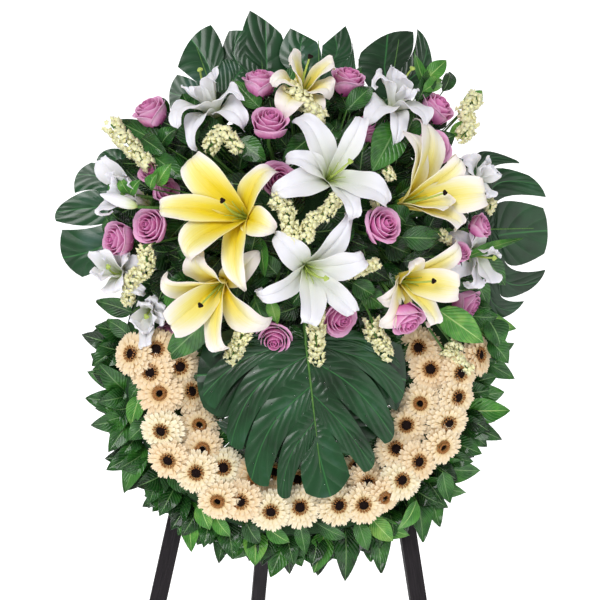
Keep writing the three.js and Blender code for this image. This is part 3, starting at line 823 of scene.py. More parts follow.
@dataclass
class Studio:
    """The pale floor, the soft lamps and the camera at the photograph's angle."""

    focal_mm: float = 72.0
    floor_size: float = 14.0
    paper: str = "#fbfbfb"
    glow: float = 0.62

    def build(self) -> None:
        """Sets up the studio."""
        self.camera()
        self.floor()
        self.lamp("key", (-1.7, -2.9, 3.4), 1.8, 82)
        self.lamp("fill", (2.6, -2.2, 2.0), 2.6, 22)
        self.lamp("back", (0.4, 2.6, 3.0), 2.4, 30)
        world = bpy.data.worlds.new("studio")
        world.use_nodes = True
        background = world.node_tree.nodes["Background"]
        background.inputs["Color"].default_value = linear("#ffffff")
        background.inputs["Strength"].default_value = 0.36
        bpy.context.scene.world = world
        bpy.context.scene.view_settings.view_transform = "Standard"

    def camera(self) -> None:
        """Puts the camera at the viewer's eye."""
        data = bpy.data.cameras.new("camera")
        data.lens = self.focal_mm
        data.clip_end = 60
        camera = bpy.data.objects.new("camera", data)
        turn = WREATH.to_3x3().normalized()
        axes = Matrix((turn @ SIGHT.right, turn @ SIGHT.up, turn @ SIGHT.back)).transposed()
        camera.matrix_world = Matrix.Translation(WREATH @ SIGHT.eye) @ axes.to_4x4()
        bpy.context.scene.collection.objects.link(camera)
        bpy.context.scene.camera = camera

    def floor(self) -> None:
        """Lays a pale floor that curves up to a wall behind."""
        half = self.floor_size / 2
        bm = bmesh.new()
        depth, curve = 5.5, 2.0

        def shape(s: float, t: float) -> Vector:
            """Runs flat, round the curve and up."""
            x = (s - 0.5) * self.floor_size
            if t < 0.4:
                return Vector((x, -half + (half + depth - curve) * t / 0.4, -0.0015))
            if t < 0.8:
                angle = (t - 0.4) / 0.4 * math.pi / 2
                return Vector((x, depth - curve + curve * math.sin(angle),
                               curve - curve * math.cos(angle) - 0.0015))
            return Vector((x, depth, curve + (t - 0.8) / 0.2 * 4))

        grid(bm, shape, 1, 40)
        bmesh.ops.recalc_face_normals(bm, faces=bm.faces[:])
        for face in bm.faces:
            face.smooth = True
        mesh = to_mesh(bm)
        material = bpy.data.materials.new("studio_paper")
        material.use_nodes = True
        shader = material.node_tree.nodes["Principled BSDF"]
        shader.inputs["Base Color"].default_value = linear(self.paper)
        shader.inputs["Roughness"].default_value = 0.9
        shader.inputs["Specular IOR Level"].default_value = 0.0
        shader.inputs["Emission Color"].default_value = linear(self.paper)
        shader.inputs["Emission Strength"].default_value = self.glow
        mesh.materials.append(material)
        floor = bpy.data.objects.new("studio_floor", mesh)
        bpy.context.scene.collection.objects.link(floor)

    def lamp(self, name: str, place: Way, size: float, power: float) -> None:
        """Hangs a soft square lamp that faces the wreath.

        Args:
            name: its name.
            place: where it hangs.
            size: its width.
            power: its power in watts.
        """
        data = bpy.data.lights.new(name, "AREA")
        data.size = size
        data.energy = power
        lamp = bpy.data.objects.new(name, data)
        target = WREATH @ Vector((0, VIEW_MIDDLE, 0))
        aim = (target - Vector(place)).to_track_quat("-Z", "Y")
        lamp.matrix_world = Matrix.Translation(place) @ aim.to_matrix().to_4x4()
        bpy.context.scene.collection.objects.link(lamp)


class Easel:
    """The battens, hinge and pegs, which keep their own shapes."""

    def dress(self, shop: Workshop) -> None:
        """Gives the battens and the hinge their finishes."""
        sin, cos = math.sin(LEAN), math.cos(LEAN)
        low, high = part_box("rear_leg")
        across, forward = (1.0, 0.0, 0.0), (0.0, -cos, sin)
        grains = {
            "front_leg_left": (LEG_SLOPE, sin, cos), "front_leg_right": (-LEG_SLOPE, sin, cos),
            "rear_leg": (0.0, low.y - high.y, high.z - low.z),
            "head_block": across, "upper_rail": across, "lower_rail": across,
            "ring_peg_left": forward, "ring_peg_right": forward,
        }
        for name, grain in grains.items():
            self.dress_node(name, shop.finishes.wood(f"black_wood_{name}", grain))
        for name in ("hinge_leaf_fixed", "hinge_leaf_moving", "hinge_pin"):
            self.dress_node(name, shop.finishes.get("hinge_steel"))
        LOG.info("easel: %d battens and pegs", len(grains))

    def dress_node(self, name: str, material: bpy.types.Material) -> None:
        """Puts a material on one of the frame's own nodes.

        Args:
            name: its name.
            material: the material.
        """
        for entry in frame["nodes"][name].material_slots:
            entry.link = "OBJECT"
            entry.material = material


@dataclass
class WreathBase:
    """The plastic tray, the foam ring and block in it, and the wire loops that tie the ring."""

    tray_wall: float = 2.5
    tray_depth: float = 24.0
    chamfer: float = 14.0
    front_cut: float = 16.0
    turns: int = 96
    tie_up: float = -170.0
    tie_room: float = 3.1
    wire_radius: float = 1.1
    leg_half_spread: float = 150.0
    leg_thick: float = 20.0

    def build(self, shop: Workshop) -> None:
        """Builds the base's pieces."""
        inner, outer = RING_RADIUS - FOAM_HALF_WIDTH, RING_RADIUS + FOAM_HALF_WIDTH
        wall, low, high = self.tray_wall, GAP, GAP + self.tray_depth
        lip = 1.6
        tray = self.turned([
            (inner - wall, low + 2), (inner - wall + 2, low), (outer + wall - 2, low),
            (outer + wall, low + 2), (outer + wall, high - 1), (outer + wall - 0.8, high),
            (outer + GAP, high), (outer + GAP, low + wall + lip), (outer - lip, low + wall),
            (inner + lip, low + wall), (inner - GAP, low + wall + lip), (inner - GAP, high),
            (inner - wall + 0.8, high), (inner - wall, high - 1)])
        self.solid(shop, "tray", tray, "tray_plastic", "tray", "ring_tray")
        base, top, cut = low + wall + GAP, FOAM_TOP, self.chamfer
        foam = self.turned([
            (inner + 0.5, base), (outer - 0.5, base), (outer - 0.5, top - cut),
            (outer - 4, top - 5), (outer - cut, top), (inner + cut, top), (inner + 4, top - 5),
            (inner + 0.5, top - cut)])
        self.solid(shop, "foam_in_tray", foam, "wet_foam", "wet_foam", "foam_ring")
        self.solid(shop, "foam_block", self.foam_block(), "wet_foam", "wet_foam", "spray_foam")
        for side, word in ((-1, "left"), (1, "right")):
            wire = self.tie(side)
            self.solid(shop, f"tie_{word}", wire, "tie_wire", "tie_wire", f"tie_wire_{word}")

    def solid(self, shop: Workshop, name: str, mesh: Mesh, finish: str, slot: str,
              node: str) -> None:
        """Places one piece that has a single finish.

        Args:
            shop: the workshop.
            name: its name.
            mesh: its shape.
            finish: its finish.
            slot: passed on to the workshop, which does not use it.
            node: the plain solid that it stands for.
        """
        model = Model([finish])
        model.add(mesh, finish=finish)
        shop.place(name, model, slot, node)

    def turned(self, profile: Sequence[tuple[float, float]]) -> Mesh:
        """Spins a closed outline about the ring's axis."""
        bm = new_shape()
        verts = [bm.verts.new((r, 0, z)) for r, z in profile]
        edges = [bm.edges.new((a, b)) for a, b in zip(verts, verts[1:] + verts[:1])]
        bmesh.ops.spin(bm, geom=verts + edges, axis=(0, 0, 1), cent=(0, 0, 0),
                       angle=2 * math.pi, steps=self.turns, use_merge=True)
        bmesh.ops.remove_doubles(bm, verts=bm.verts[:], dist=0.001)
        bmesh.ops.recalc_face_normals(bm, faces=bm.faces[:])
        sharpen(bm, 0.5)
        return to_mesh(bm)

    def foam_block(self) -> Mesh:
        """Makes the block of foam that carries the spray, with its front edges cut off."""
        low, high = DOME.foam_low, DOME.foam_high
        bm = new_shape()
        bmesh.ops.create_cube(bm, size=1)
        size = (2 * DOME.foam_half_width, high - low, DOME.foam_depth)
        bmesh.ops.scale(bm, vec=size, verts=bm.verts[:])
        back = FOAM_HEIGHT + 3 * GAP
        middle = (0, (low + high) / 2, back + DOME.foam_depth / 2)
        bmesh.ops.translate(bm, vec=middle, verts=bm.verts[:])
        front = [e for e in bm.edges if all(v.co.z > back + 1 for v in e.verts)]
        bmesh.ops.bevel(bm, geom=front, offset=self.front_cut, segments=3, profile=0.5,
                        affect="EDGES", material=-1)
        sharpen(bm, 0.5)
        return to_mesh(bm)

    def tie(self, side: int) -> Mesh:
        """Makes the loop of wire round one leg and the ring."""
        x = side * (self.leg_half_spread - LEG_SLOPE * self.tie_up)
        outward = Vector((x, self.tie_up, 0)).normalized()
        reach = FOAM_HALF_WIDTH + self.tray_wall + self.tie_room
        back, front = -self.leg_thick - 2.3, FOAM_HEIGHT + 4.6
        corner = 0.24

        def path(t: float) -> Vector:
            """Runs round an oblong with round corners."""
            angle = 2 * math.pi * t
            cos, sin = math.cos(angle), math.sin(angle)
            off = reach * math.copysign(abs(cos) ** corner, cos)
            depth = (front + back) / 2 + (front - back) / 2 * math.copysign(abs(sin) ** corner, sin)
            return outward * (RING_RADIUS + off) + Vector((0, 0, depth))

        return tube(path, lambda t: self.wire_radius, 8, 96)


class GerberaHeads:
    """Ready-made gerbera heads, facing up, 38 mm in radius, for the wreath to copy."""

    radius = 38.0
    inner_radius = 8.0

    def __init__(self) -> None:
        """Makes single and double heads in a few casts."""
        self.single = [self.head(seed, 9.6, 30, 9.2) for seed in range(5)]
        self.double = [self.head(seed, 5.0, 54, 7.0) for seed in range(5, 8)]

    def petal(self, length: float, half_width: float, across: int, along: int,
              notch: float) -> Mesh:
        """Makes one strap petal along +Y from the eye, with two or three teeth at its tip.

        Args:
            length: how far out its tip reaches.
            half_width: its half width.
            across: faces from side to side.
            along: faces from base to tip.
            notch: how deep the teeth are.

        Returns:
            The petal's mesh.
        """

        def shape(s: float, t: float) -> Vector:
            """Gives a point of the petal."""
            off = 2 * s - 1
            width = half_width * (0.42 + 0.58 * smooth(t / 0.6))
            width *= 1 - 0.3 * smooth((t - 0.75) / 0.25)
            tooth = abs(abs(off) - 0.5) * 2
            y = self.inner_radius + (length - self.inner_radius) * t - notch * tooth * t ** 4
            z = 2.6 * math.sin(math.pi * 0.8 * t) - 0.8 * t * t + 0.9 * off * off * (1 - 0.6 * t)
            return Vector((off * width, y, z))

        return sheet(shape, across, along, 0.5)

    def head(self, seed: int, eye: float, fringe: int, inner: float) -> Mesh:
        """Builds one head.

        Args:
            seed: fixes the head's small differences.
            eye: the dark disc's radius.
            fringe: how many short florets ring it.
            inner: how far out the short florets start.

        Returns:
            The head's mesh: petals in slot 0, the fringe in slot 1 and the eye in slot 2.
        """
        rng = random.Random(100 + seed)
        model = Model(GERBERA_SLOTS)
        long = self.petal(self.radius + 1, 5.0, 4, 3, 2.4)
        middle = self.petal(self.radius - 4, 4.6, 4, 3, 2.0)
        short = self.petal(self.radius - 13, 3.8, 2, 2, 0.0)
        rows = ((long, 23, 0.0, -0.02), (middle, 21, 1.5, 0.07), (short, 17, 2.6, 0.2))
        for row, (mesh, count, lift, pitch) in enumerate(rows):
            for i in range(count):
                angle = 2 * math.pi * (i + 0.5 * row + rng.uniform(-0.18, 0.18)) / count
                turn = Matrix.Rotation(angle, 4, "Z") @ Matrix.Translation((0, 0, lift))
                turn = turn @ Matrix.Rotation(pitch + rng.uniform(-0.06, 0.07), 4, "X")
                turn = turn @ Matrix.Rotation(rng.uniform(-0.15, 0.15), 4, "Y")
                size = rng.uniform(0.94, 1.03)
                model.add(mesh, turn @ Matrix.Scale(size, 4), "gerbera_petal")
        floret = self.petal(self.inner_radius + 5, 1.2, 1, 2, 0.0)
        for i in range(fringe):
            ring = i % 2
            angle = 2 * math.pi * i / fringe + rng.uniform(-0.05, 0.05)
            out = inner - self.inner_radius + 1.6 * ring
            turn = Matrix.Rotation(angle, 4, "Z") @ Matrix.Translation((0, out, 4.6 - 0.6 * ring))
            turn = turn @ Matrix.Rotation(0.5 - 0.2 * ring + rng.uniform(-0.1, 0.1), 4, "X")
            model.add(floret, turn, "inner_florets")
        self.add_eye(model, eye, rng)
        cup = tube(bow(Vector((0, 0, -14)), Vector((0, 0, -8)), Vector((0, 0, 1))),
                   lambda t: 2.6 + 9 * smooth(t), 12, 5)
        model.add(cup, None, "leaf_stem")
        return model.mesh()

    def add_eye(self, model: Model, eye: float, rng: random.Random) -> None:
        """Adds the domed disc with its rings of tiny florets.

        Args:
            model: the piece in the making.
            eye: the disc's radius.
            rng: the run of small differences.
        """
        bm = new_shape()
        bmesh.ops.create_uvsphere(bm, u_segments=16, v_segments=8, radius=eye)
        bmesh.ops.scale(bm, vec=(1, 1, 0.35), verts=bm.verts[:])
        dome = to_mesh(bm)
        model.add(dome, Matrix.Translation((0, 0, 5.2)), "dark_florets")
        bm = new_shape()
        bmesh.ops.create_cone(bm, cap_ends=True, segments=5, radius1=0.9, radius2=0.35, depth=2.2)
        bud = to_mesh(bm)
        for ring, count in ((0.92, 20), (0.62, 12), (0.3, 6)):
            for i in range(count):
                angle = 2 * math.pi * (i + rng.random() * 0.3) / count
                height = 5.2 + 0.35 * eye * math.sqrt(1 - ring * ring) + 0.6
                place = Matrix.Rotation(angle, 4, "Z") @ Matrix.Translation((0, eye * ring, height))
                model.add(bud, place @ Matrix.Rotation(-0.5 * ring, 4, "X"), "dark_florets")


# Gerbera heads by clump: across, up, tone from creamy white to peach, and whether it is double
GERBERAS: dict[str, tuple[tuple[float, float, float, bool], ...]] = {
    "upper_left": ((-290, 10, 0.7, False), (-252, 18, 0.8, False), (-259, -21, 0.8, False),
                   (-212, -10, 0.6, False)),
    "left": ((-245, -58, 0.85, True), (-194, -56, 0.7, False), (-240, -121, 0.1, False),
             (-178, -116, 0.65, True)),
    "lower_left": ((-172, -156, 0.75, True), (-228, -172, 0.75, False), (-180, -194, 0.35, False),
                   (-136, -189, 0.05, False)),
    "bottom_left": ((-142, -243, 0.6, True), (-103, -245, 0.75, False), (-84, -206, 0.8, True),
                    (-51, -262, 0.15, False), (-49, -201, 0.8, False)),
    "bottom": ((0, -256, 0.25, False), (-7, -212, 0.4, False), (65, -252, 0.3, False),
               (110, -250, 0.5, False), (145, -238, 0.7, True)),
    "lower_right": ((166, -158, 0.6, False), (205, -177, 0.75, False), (175, -208, 0.1, False),
                    (117, -214, 0.8, False), (100, -189, 0.6, False)),
    "right": ((212, -75, 0.6, True), (271, -63, 0.55, False), (187, -114, 0.65, False),
              (257, -108, 0.5, False), (247, -149, 0.55, True)),
    "upper_right": ((228, -16, 0.9, False), (275, -23, 0.7, False), (308, 9, 0.8, False),
                    (210, 21, 0.8, False)),
}


@dataclass
class Gerberas:
    """The gerberas that cover the lower three quarters of the ring."""

    rise: float = 68.0
    face_radius: float = 235.0
    turn_reach: float = 75.0
    stem_length: float = 58.0
    stem_radius: float = 2.6
    heads: GerberaHeads = field(default_factory=GerberaHeads)

    def place_of(self, seen: Seen) -> Vector:
        """Finds a head's middle, at its rise from the foam's middle line."""
        middle = FOAM_HEIGHT / 2
        place = SIGHT.at(seen, middle + self.rise)
        for _ in range(2):
            off = math.hypot(place.x, place.y) - RING_RADIUS
            off = min(FOAM_HALF_WIDTH, max(-FOAM_HALF_WIDTH, off))
            place = SIGHT.at(seen, middle + math.sqrt(self.rise ** 2 - off ** 2))
        return place

    def build(self, shop: Workshop) -> None:
        """Builds every head on its stem."""
        number = 0
        for clump, heads in GERBERAS.items():
            for i, (across, up, tone, double) in enumerate(heads):
                number += 1
                casts = self.heads.double if double else self.heads.single
                model = self.flower((across, up), tone, casts[number % len(casts)], number)
                shop.place(f"gerbera_{clump}_{i + 1}", model, "gerbera_petal", f"gerberas_{clump}")

    def flower(self, seen: Seen, tone: float, head: Mesh, number: int) -> Model:
        """Sets one head on its stem.

        Args:
            seen: the place as seen.
            tone: its tone.
            head: the cast.
            number: the head's number, which fixes its small differences.

        Returns:
            The flower on its stem.
        """
        rng = random.Random(number)
        place = self.place_of(seen)
        reach = math.hypot(place.x, place.y)
        tilt = min(0.75, max(-0.6, (reach - self.face_radius) / self.turn_reach))
        outward = Vector((place.x, place.y, 0)).normalized()
        sway = Vector((rng.uniform(-0.18, 0.18), rng.uniform(-0.18, 0.18), 0))
        facing = (outward * tilt + Vector((0, 0, 1)) + sway).normalized()
        model = Model(GERBERA_SLOTS)
        lift = Matrix.Translation(place + facing * rng.uniform(-1.5, 3.5))
        model.add(head, lift @ upright(facing, rng.uniform(0, 6.28)), None, tone)
        root = Vector((place.x, place.y, 0)).normalized() * RING_RADIUS
        root.z = FOAM_HEIGHT / 2
        start = place - facing * 12
        end = start + (root - start).normalized() * self.stem_length
        model.stem(bow(start, place - facing * 26, end), self.stem_radius, 8, 6)
        return model


class LilyKind(Enum):
    """The two lilies in the spray."""

    YELLOW = "yellow_lily_petal"
    WHITE = "white_lily_petal"


@dataclass
class Lily:
    """One open lily: six recurved petals round a pistil and short filaments."""

    name: str
    kind: LilyKind
    throat: Seen
    tips: tuple[Seen, ...]
    axis: Way
    tone: float = 0.5
    node: Optional[str] = None
    petal_length: float = 155.0
    throat_sunk: float = 46.0
    wide: float = 30.0
    narrow: float = 21.0
    recurve: float = 0.4
    roll_from: float = 0.88
    white_slimness: float = 0.82
    filaments: int = 6
    stigma_radius: float = 4.6
    pistil: float = 92.0

    def build(self, shop: Workshop) -> None:
        """Builds the flower on its stem."""
        depth = DOME.depth(self.throat) - self.throat_sunk
        self.origin = SIGHT.at(self.throat, depth)
        facing = Vector(self.axis).normalized()
        petal = self.kind.value
        model = Model([petal, "lily_pistil", "dark_florets", "leaf_stem"])
        for i, tip in enumerate(self.tips):
            reach = math.hypot(tip[0] - self.throat[0], tip[1] - self.throat[1])
            rise = math.sqrt(max(0.0, self.petal_length ** 2 - reach ** 2))
            end = SIGHT.at(tip, depth + 18 + 0.35 * rise)
            width = self.wide if i % 2 == 0 else self.narrow
            if self.kind is LilyKind.WHITE:
                width *= self.white_slimness
            model.add(self.petal(facing, end, width, i), None, petal, self.tone)
        self.add_middle(model, facing)
        base = self.origin - facing * 16
        cup = tube(through([base, self.origin + facing * 4]), lambda t: 3 + 6 * smooth(t), 10, 4)
        model.add(cup, None, "leaf_stem", 0.5)
        model.stem(bow(base, base - facing * 25, DOME.anchor(self.origin)), 3.0)
        shop.place(self.name, model, petal, self.node)

    def petal(self, facing: Vector, end: Vector, width: float, number: int) -> Mesh:
        """Makes one petal from the throat out to its tip.

        Args:
            facing: the flower's axis.
            end: the petal's tip.
            width: the petal's half width at its widest.
            number: the petal's place in the flower.

        Returns:
            The petal's mesh.
        """
        rng = random.Random(self.name + str(number))
        along = end - self.origin
        height = along.dot(facing)
        out = along - facing * height
        reach = out.length
        out.normalize()
        side = facing.cross(out).normalized()
        span = math.hypot(reach, height)
        width = min(width, 0.24 * span + 4)
        first = self.origin + facing * (0.3 * span) + out * (0.1 * reach)
        second = self.origin + facing * (height + self.recurve * span) + out * (0.74 * reach)
        phase, waves = rng.uniform(0, 6.28), rng.uniform(2.0, 3.0)
        lift = rng.uniform(0.6, 1.0)
        white = self.kind is LilyKind.WHITE
        rolled = rng.uniform(0.4, 1.5) if white else rng.uniform(0.2, 0.9)
        bend = rng.uniform(14, 20) if white else 20
        frill = lift * (6.0 if white else 3.4)
        end = end - out * bend * min(1.0, rolled)
        last = (end - second).normalized()
        under = last.cross(side).normalized() * -bend

        def middle(t: float) -> Vector:
            """Gives the petal's middle line, which rolls under at its tip."""
            if t > self.roll_from:
                angle = rolled * (t - self.roll_from) / (1 - self.roll_from)
                return end + last * bend * math.sin(angle) + under * (1 - math.cos(angle))
            t = t / self.roll_from
            u = 1 - t
            return (self.origin * u ** 3 + first * (3 * u * u * t) + second * (3 * u * t * t)
                    + end * t ** 3)

        def reached(t: float) -> float:
            """Gives the share of the petal's length that lies before t."""
            if t <= self.roll_from:
                return t / self.roll_from * span / (span + bend)
            return (span + bend * (t - self.roll_from) / (1 - self.roll_from)) / (span + bend)

        def shape(s: float, t: float) -> Vector:
            """Gives a point of the petal."""
            off = 2 * s - 1
            ahead = (middle(min(1, t + 0.02)) - middle(max(0, t - 0.02))).normalized()
            normal = ahead.cross(side).normalized()
            done = reached(t)
            broad = smooth(done / 0.55) ** 0.6 * (1 - max(0.0, (done - 0.42) / 0.58) ** 1.7)
            half = width * broad + 4.5 * (1 - t) ** 2 + 0.6
            cup = (0.55 * (1 - t) ** 2 + 0.16 - 0.32 * t * t) * half * off * off
            ruffle = frill * math.sin(waves * math.pi * 2 * t + phase + off)
            ruffle *= off ** 4 * smooth(2 * t)
            groove = -2.6 * math.exp(-(off / 0.12) ** 2) * math.sin(math.pi * t)
            groove += 1.2 * math.exp(-((abs(off) - 0.3) / 0.12) ** 2) * math.sin(math.pi * t)
            return middle(t) + side * (off * half) + normal * (cup + ruffle + groove)

        return sheet(shape, 10, 20, 0.9)

    def add_middle(self, model: Model, facing: Vector) -> None:
        """Adds the pistil with its tip, and the filaments.

        Args:
            model: the piece in the making.
            facing: the way it faces.
        """
        stigma = "dark_florets" if self.kind is LilyKind.YELLOW else "lily_pistil"
        rng = random.Random(self.name)
        bend = facing.orthogonal().normalized() * 8
        end = self.origin + facing * self.pistil + bend
        path = bow(self.origin + facing * 4, self.origin + facing * 0.5 * self.pistil - bend, end)
        model.add(tube(path, lambda t: 2.2 - 0.7 * t, 8, 10), None, "lily_pistil", 0.5)
        bm = new_shape()
        bmesh.ops.create_icosphere(bm, subdivisions=2, radius=self.stigma_radius)
        for vert in bm.verts:
            lobe = math.cos(3 * math.atan2(vert.co.y, vert.co.x))
            vert.co *= 1 + 0.22 * lobe * math.hypot(vert.co.x, vert.co.y) / self.stigma_radius
            vert.co.z *= 0.75
        tip = to_mesh(bm)
        model.add(tip, Matrix.Translation(end) @ upright(facing), stigma, 0.5)
        for i in range(self.filaments):
            angle = 2 * math.pi * (i + 0.5) / self.filaments
            away = upright(facing) @ Vector((math.cos(angle), math.sin(angle), 0))
            length = 0.55 * self.pistil * rng.uniform(0.85, 1.1)
            filament = bow(self.origin + away * 3, self.origin + facing * length * 0.7 + away * 5,
                           self.origin + facing * length + away * 15)
            model.add(tube(filament, lambda t: 1.2 - 0.6 * t, 6, 6), None, "lily_pistil", 0.5)


LILIES = (
    Lily("lily_yellow_left", LilyKind.YELLOW, (-91, 247),
         ((-191, 362), (-250, 259), (-206, 166), (-101, 115), (-35, 224), (-37, 346)),
         (-0.57, 0.18, 0.80), 0.52, "yellow_lily_left"),
    Lily("lily_yellow_lower_left", LilyKind.YELLOW, (-128, 143),
         ((-184, 201), (-247, 156), (-231, 63), (-126, 14), (-40, 56), (-66, 192)),
         (-0.53, -0.53, 0.66), 0.36, "yellow_lily_lower_left"),
    Lily("lily_yellow_right", LilyKind.YELLOW, (172, 273),
         ((207, 434), (184, 404), (258, 262), (278, 224), (322, 290), (275, 367)),
         (0.62, 0.12, 0.77), 0.36, "yellow_lily_right"),
    Lily("lily_yellow_lower_right", LilyKind.YELLOW, (164, 143),
         ((194, 180), (133, 96), (140, 52), (231, 47), (282, 126), (278, 210)),
         (0.48, -0.1, 0.87), 0.36, "yellow_lily_lower_right", wide=27, narrow=17),
    Lily("lily_yellow_top", LilyKind.YELLOW, (0, 453),
         ((-23, 525), (-52, 481), (-36, 424), (38, 416), (64, 458), (68, 513)),
         (0.0, 0.6, 0.8), 0.33, "yellow_lily_top", wide=26, narrow=17),
    Lily("lily_white_top", LilyKind.WHITE, (46, 313),
         ((-18, 436), (-44, 356), (-66, 284), (96, 230), (158, 270), (107, 436)),
         (0.2, 0.2, 0.96), 0.5, "white_lily_top", wide=28, narrow=20, recurve=0.5),
    Lily("lily_white_middle", LilyKind.WHITE, (7, 166),
         ((-52, 228), (-93, 107), (7, 54), (105, 74), (128, 191), (93, 268)),
         (0.2, -0.3, 0.93), 0.5, "white_lily_middle", wide=27, narrow=21),
    Lily("lily_white_upper_left", LilyKind.WHITE, (-144, 422),
         ((-140, 499), (-203, 458), (-224, 408), (-198, 369), (-89, 416), (-96, 464)),
         (-0.43, 0.76, 0.5), 0.5, "white_lily_upper_left"),
    Lily("lily_white_upper_right", LilyKind.WHITE, (156, 427),
         ((161, 497), (119, 492), (114, 420), (172, 380), (228, 410), (203, 458)),
         (0.22, 0.82, 0.53), 0.5, "white_lily_upper_right"),
    Lily("lily_white_left", LilyKind.WHITE, (-262, 272),
         ((-344, 360), (-356, 236), (-318, 306), (-336, 264), (-286, 330), (-322, 340)),
         (-0.75, 0.3, 0.6), 0.5, "white_lily_left", 118, wide=24, narrow=14, pistil=40),
    Lily("lily_white_lower_left", LilyKind.WHITE, (-308, 149),
         ((-350, 206), (-362, 136), (-315, 105), (-262, 110), (-255, 165), (-290, 205)),
         (-0.5, 0.1, 0.85), 0.5, "white_lily_lower_left", 120, wide=26, narrow=17, pistil=60),
    Lily("lily_white_right", LilyKind.WHITE, (292, 194),
         ((302, 248), (255, 230), (250, 160), (286, 118), (324, 126), (348, 206)),
         (0.5, -0.35, 0.8), 0.5, "white_lily_right", 104, wide=29, narrow=20, pistil=60),
    Lily("lily_white_low_left", LilyKind.WHITE, (-258, 92),
         ((-290, 56), (-262, 14), (-243, 56), (-225, 75), (-236, 118), (-270, 118)),
         (-0.3, -0.4, 0.87), 0.5, None, 96, wide=22, narrow=15, pistil=50),
    Lily("lily_white_far_right", LilyKind.WHITE, (294, 315),
         ((277, 360), (314, 362), (334, 322), (326, 268), (280, 258), (258, 312)),
         (0.6, 0.2, 0.77), 0.5, None, 92, wide=26, narrow=20, pistil=36),
)


class RoseHeads:
    """Ready-made rose heads, facing up, about 32 mm in radius."""

    petals = 17
    sepals = 5

    def __init__(self) -> None:
        """Makes heads from half shut to well open."""
        self.casts = [self.head(openness, seed) for seed, openness in enumerate((0.3, 0.55, 0.85))]

    def head(self, openness: float, seed: int) -> Mesh:
        """Builds one head of petals laid in a spiral, with its green cup.

        Args:
            openness: from a bud at 0 to a full flower at 1.
            seed: fixes the small differences.

        Returns:
            The head's mesh: petals in slot 0, the stalk in slot 1 and the sepals in slot 2.
        """
        rng = random.Random(200 + seed)
        model = Model(ROSE_SLOTS)
        for i in range(self.petals):
            share = i / (self.petals - 1)
            turn = Matrix.Rotation(i * GOLDEN_ANGLE + rng.uniform(-0.15, 0.15), 4, "Z")
            mesh = self.petal(share, openness, rng)
            # Inner petals get a deeper tone: painted shade in the heart of the flower, partly its
            # own deeper colour
            model.add(mesh, turn, "rose_petal", 1.0 - 0.8 * share)
        stalk = through([Vector((0, 0, -30)), Vector((0, 0, -19))])
        model.add(tube(stalk, lambda t: 3 + 6 * smooth(t), 10, 4), None, "leaf_stem")
        sepal = sheet(lambda s, t: Vector(((2 * s - 1) * 4.5 * (1 - t) ** 0.7, 5 + 20 * t,
                                           -22 + 9 * math.sin(2.2 * t) - 8 * t * t)), 2, 5, 0.6)
        for i in range(self.sepals):
            turn = Matrix.Rotation(i * 2 * math.pi / self.sepals, 4, "Z")
            model.add(sepal, turn, "foliage_leaf")
        return model.mesh()

    def petal(self, share: float, openness: float, rng: random.Random) -> Mesh:
        """Makes one cupped petal.

        Args:
            share: from the innermost petal at 0 to the outermost at 1.
            openness: how far the head has opened.
            rng: the head's own run of small differences.

        Returns:
            The petal's mesh.
        """
        radius = 2.2 + (21 + 5 * openness) * share ** 0.85
        top = 19 - (4 + 9 * openness) * share * share
        wrap = math.radians(110 - 38 * share)
        curl = max(0.0, share - 0.2) * (5 + 7 * openness)
        low, foot = -27, 4
        shut = 0.45 * (1 - share) ** 2
        tilt, wave = rng.uniform(-0.08, 0.08), rng.uniform(0, 6.28)

        def shape(s: float, t: float) -> Vector:
            """Gives a point of the petal."""
            off = 2 * s - 1
            belly = math.sin(min(1.0, t / 0.7) * math.pi / 2) ** 0.9
            r = foot + (radius - foot) * belly - shut * radius * smooth((t - 0.6) / 0.4)
            lip = smooth((t - 0.74) / 0.26)
            r += curl * lip * (1 - 0.8 * abs(off) ** 1.4)
            edge = 1 - (0.1 + 0.3 * share) * abs(off) ** 2.6
            z = low + (top - low) * t * edge - 0.7 * curl * lip * lip * (1 - 0.4 * off * off)
            z += 1.2 * math.sin(3.5 * off + wave) * t * t * share
            angle = off * wrap * (0.4 + 0.6 * smooth(t * 1.5)) + tilt * t
            return Vector((r * math.sin(angle), r * math.cos(angle), z))

        return sheet(shape, 8, 10, 0.7)


@dataclass(frozen=True)
class RosePlace:
    """Where one rose is seen, its cast, which way it faces, how deep it is sunk and its size."""

    name: str
    seen: Seen
    node: bool = True
    cast: int = 1
    lean: Way = (0.0, 0.0, 1.0)
    sunk: float = 8.0
    size: float = 1.06


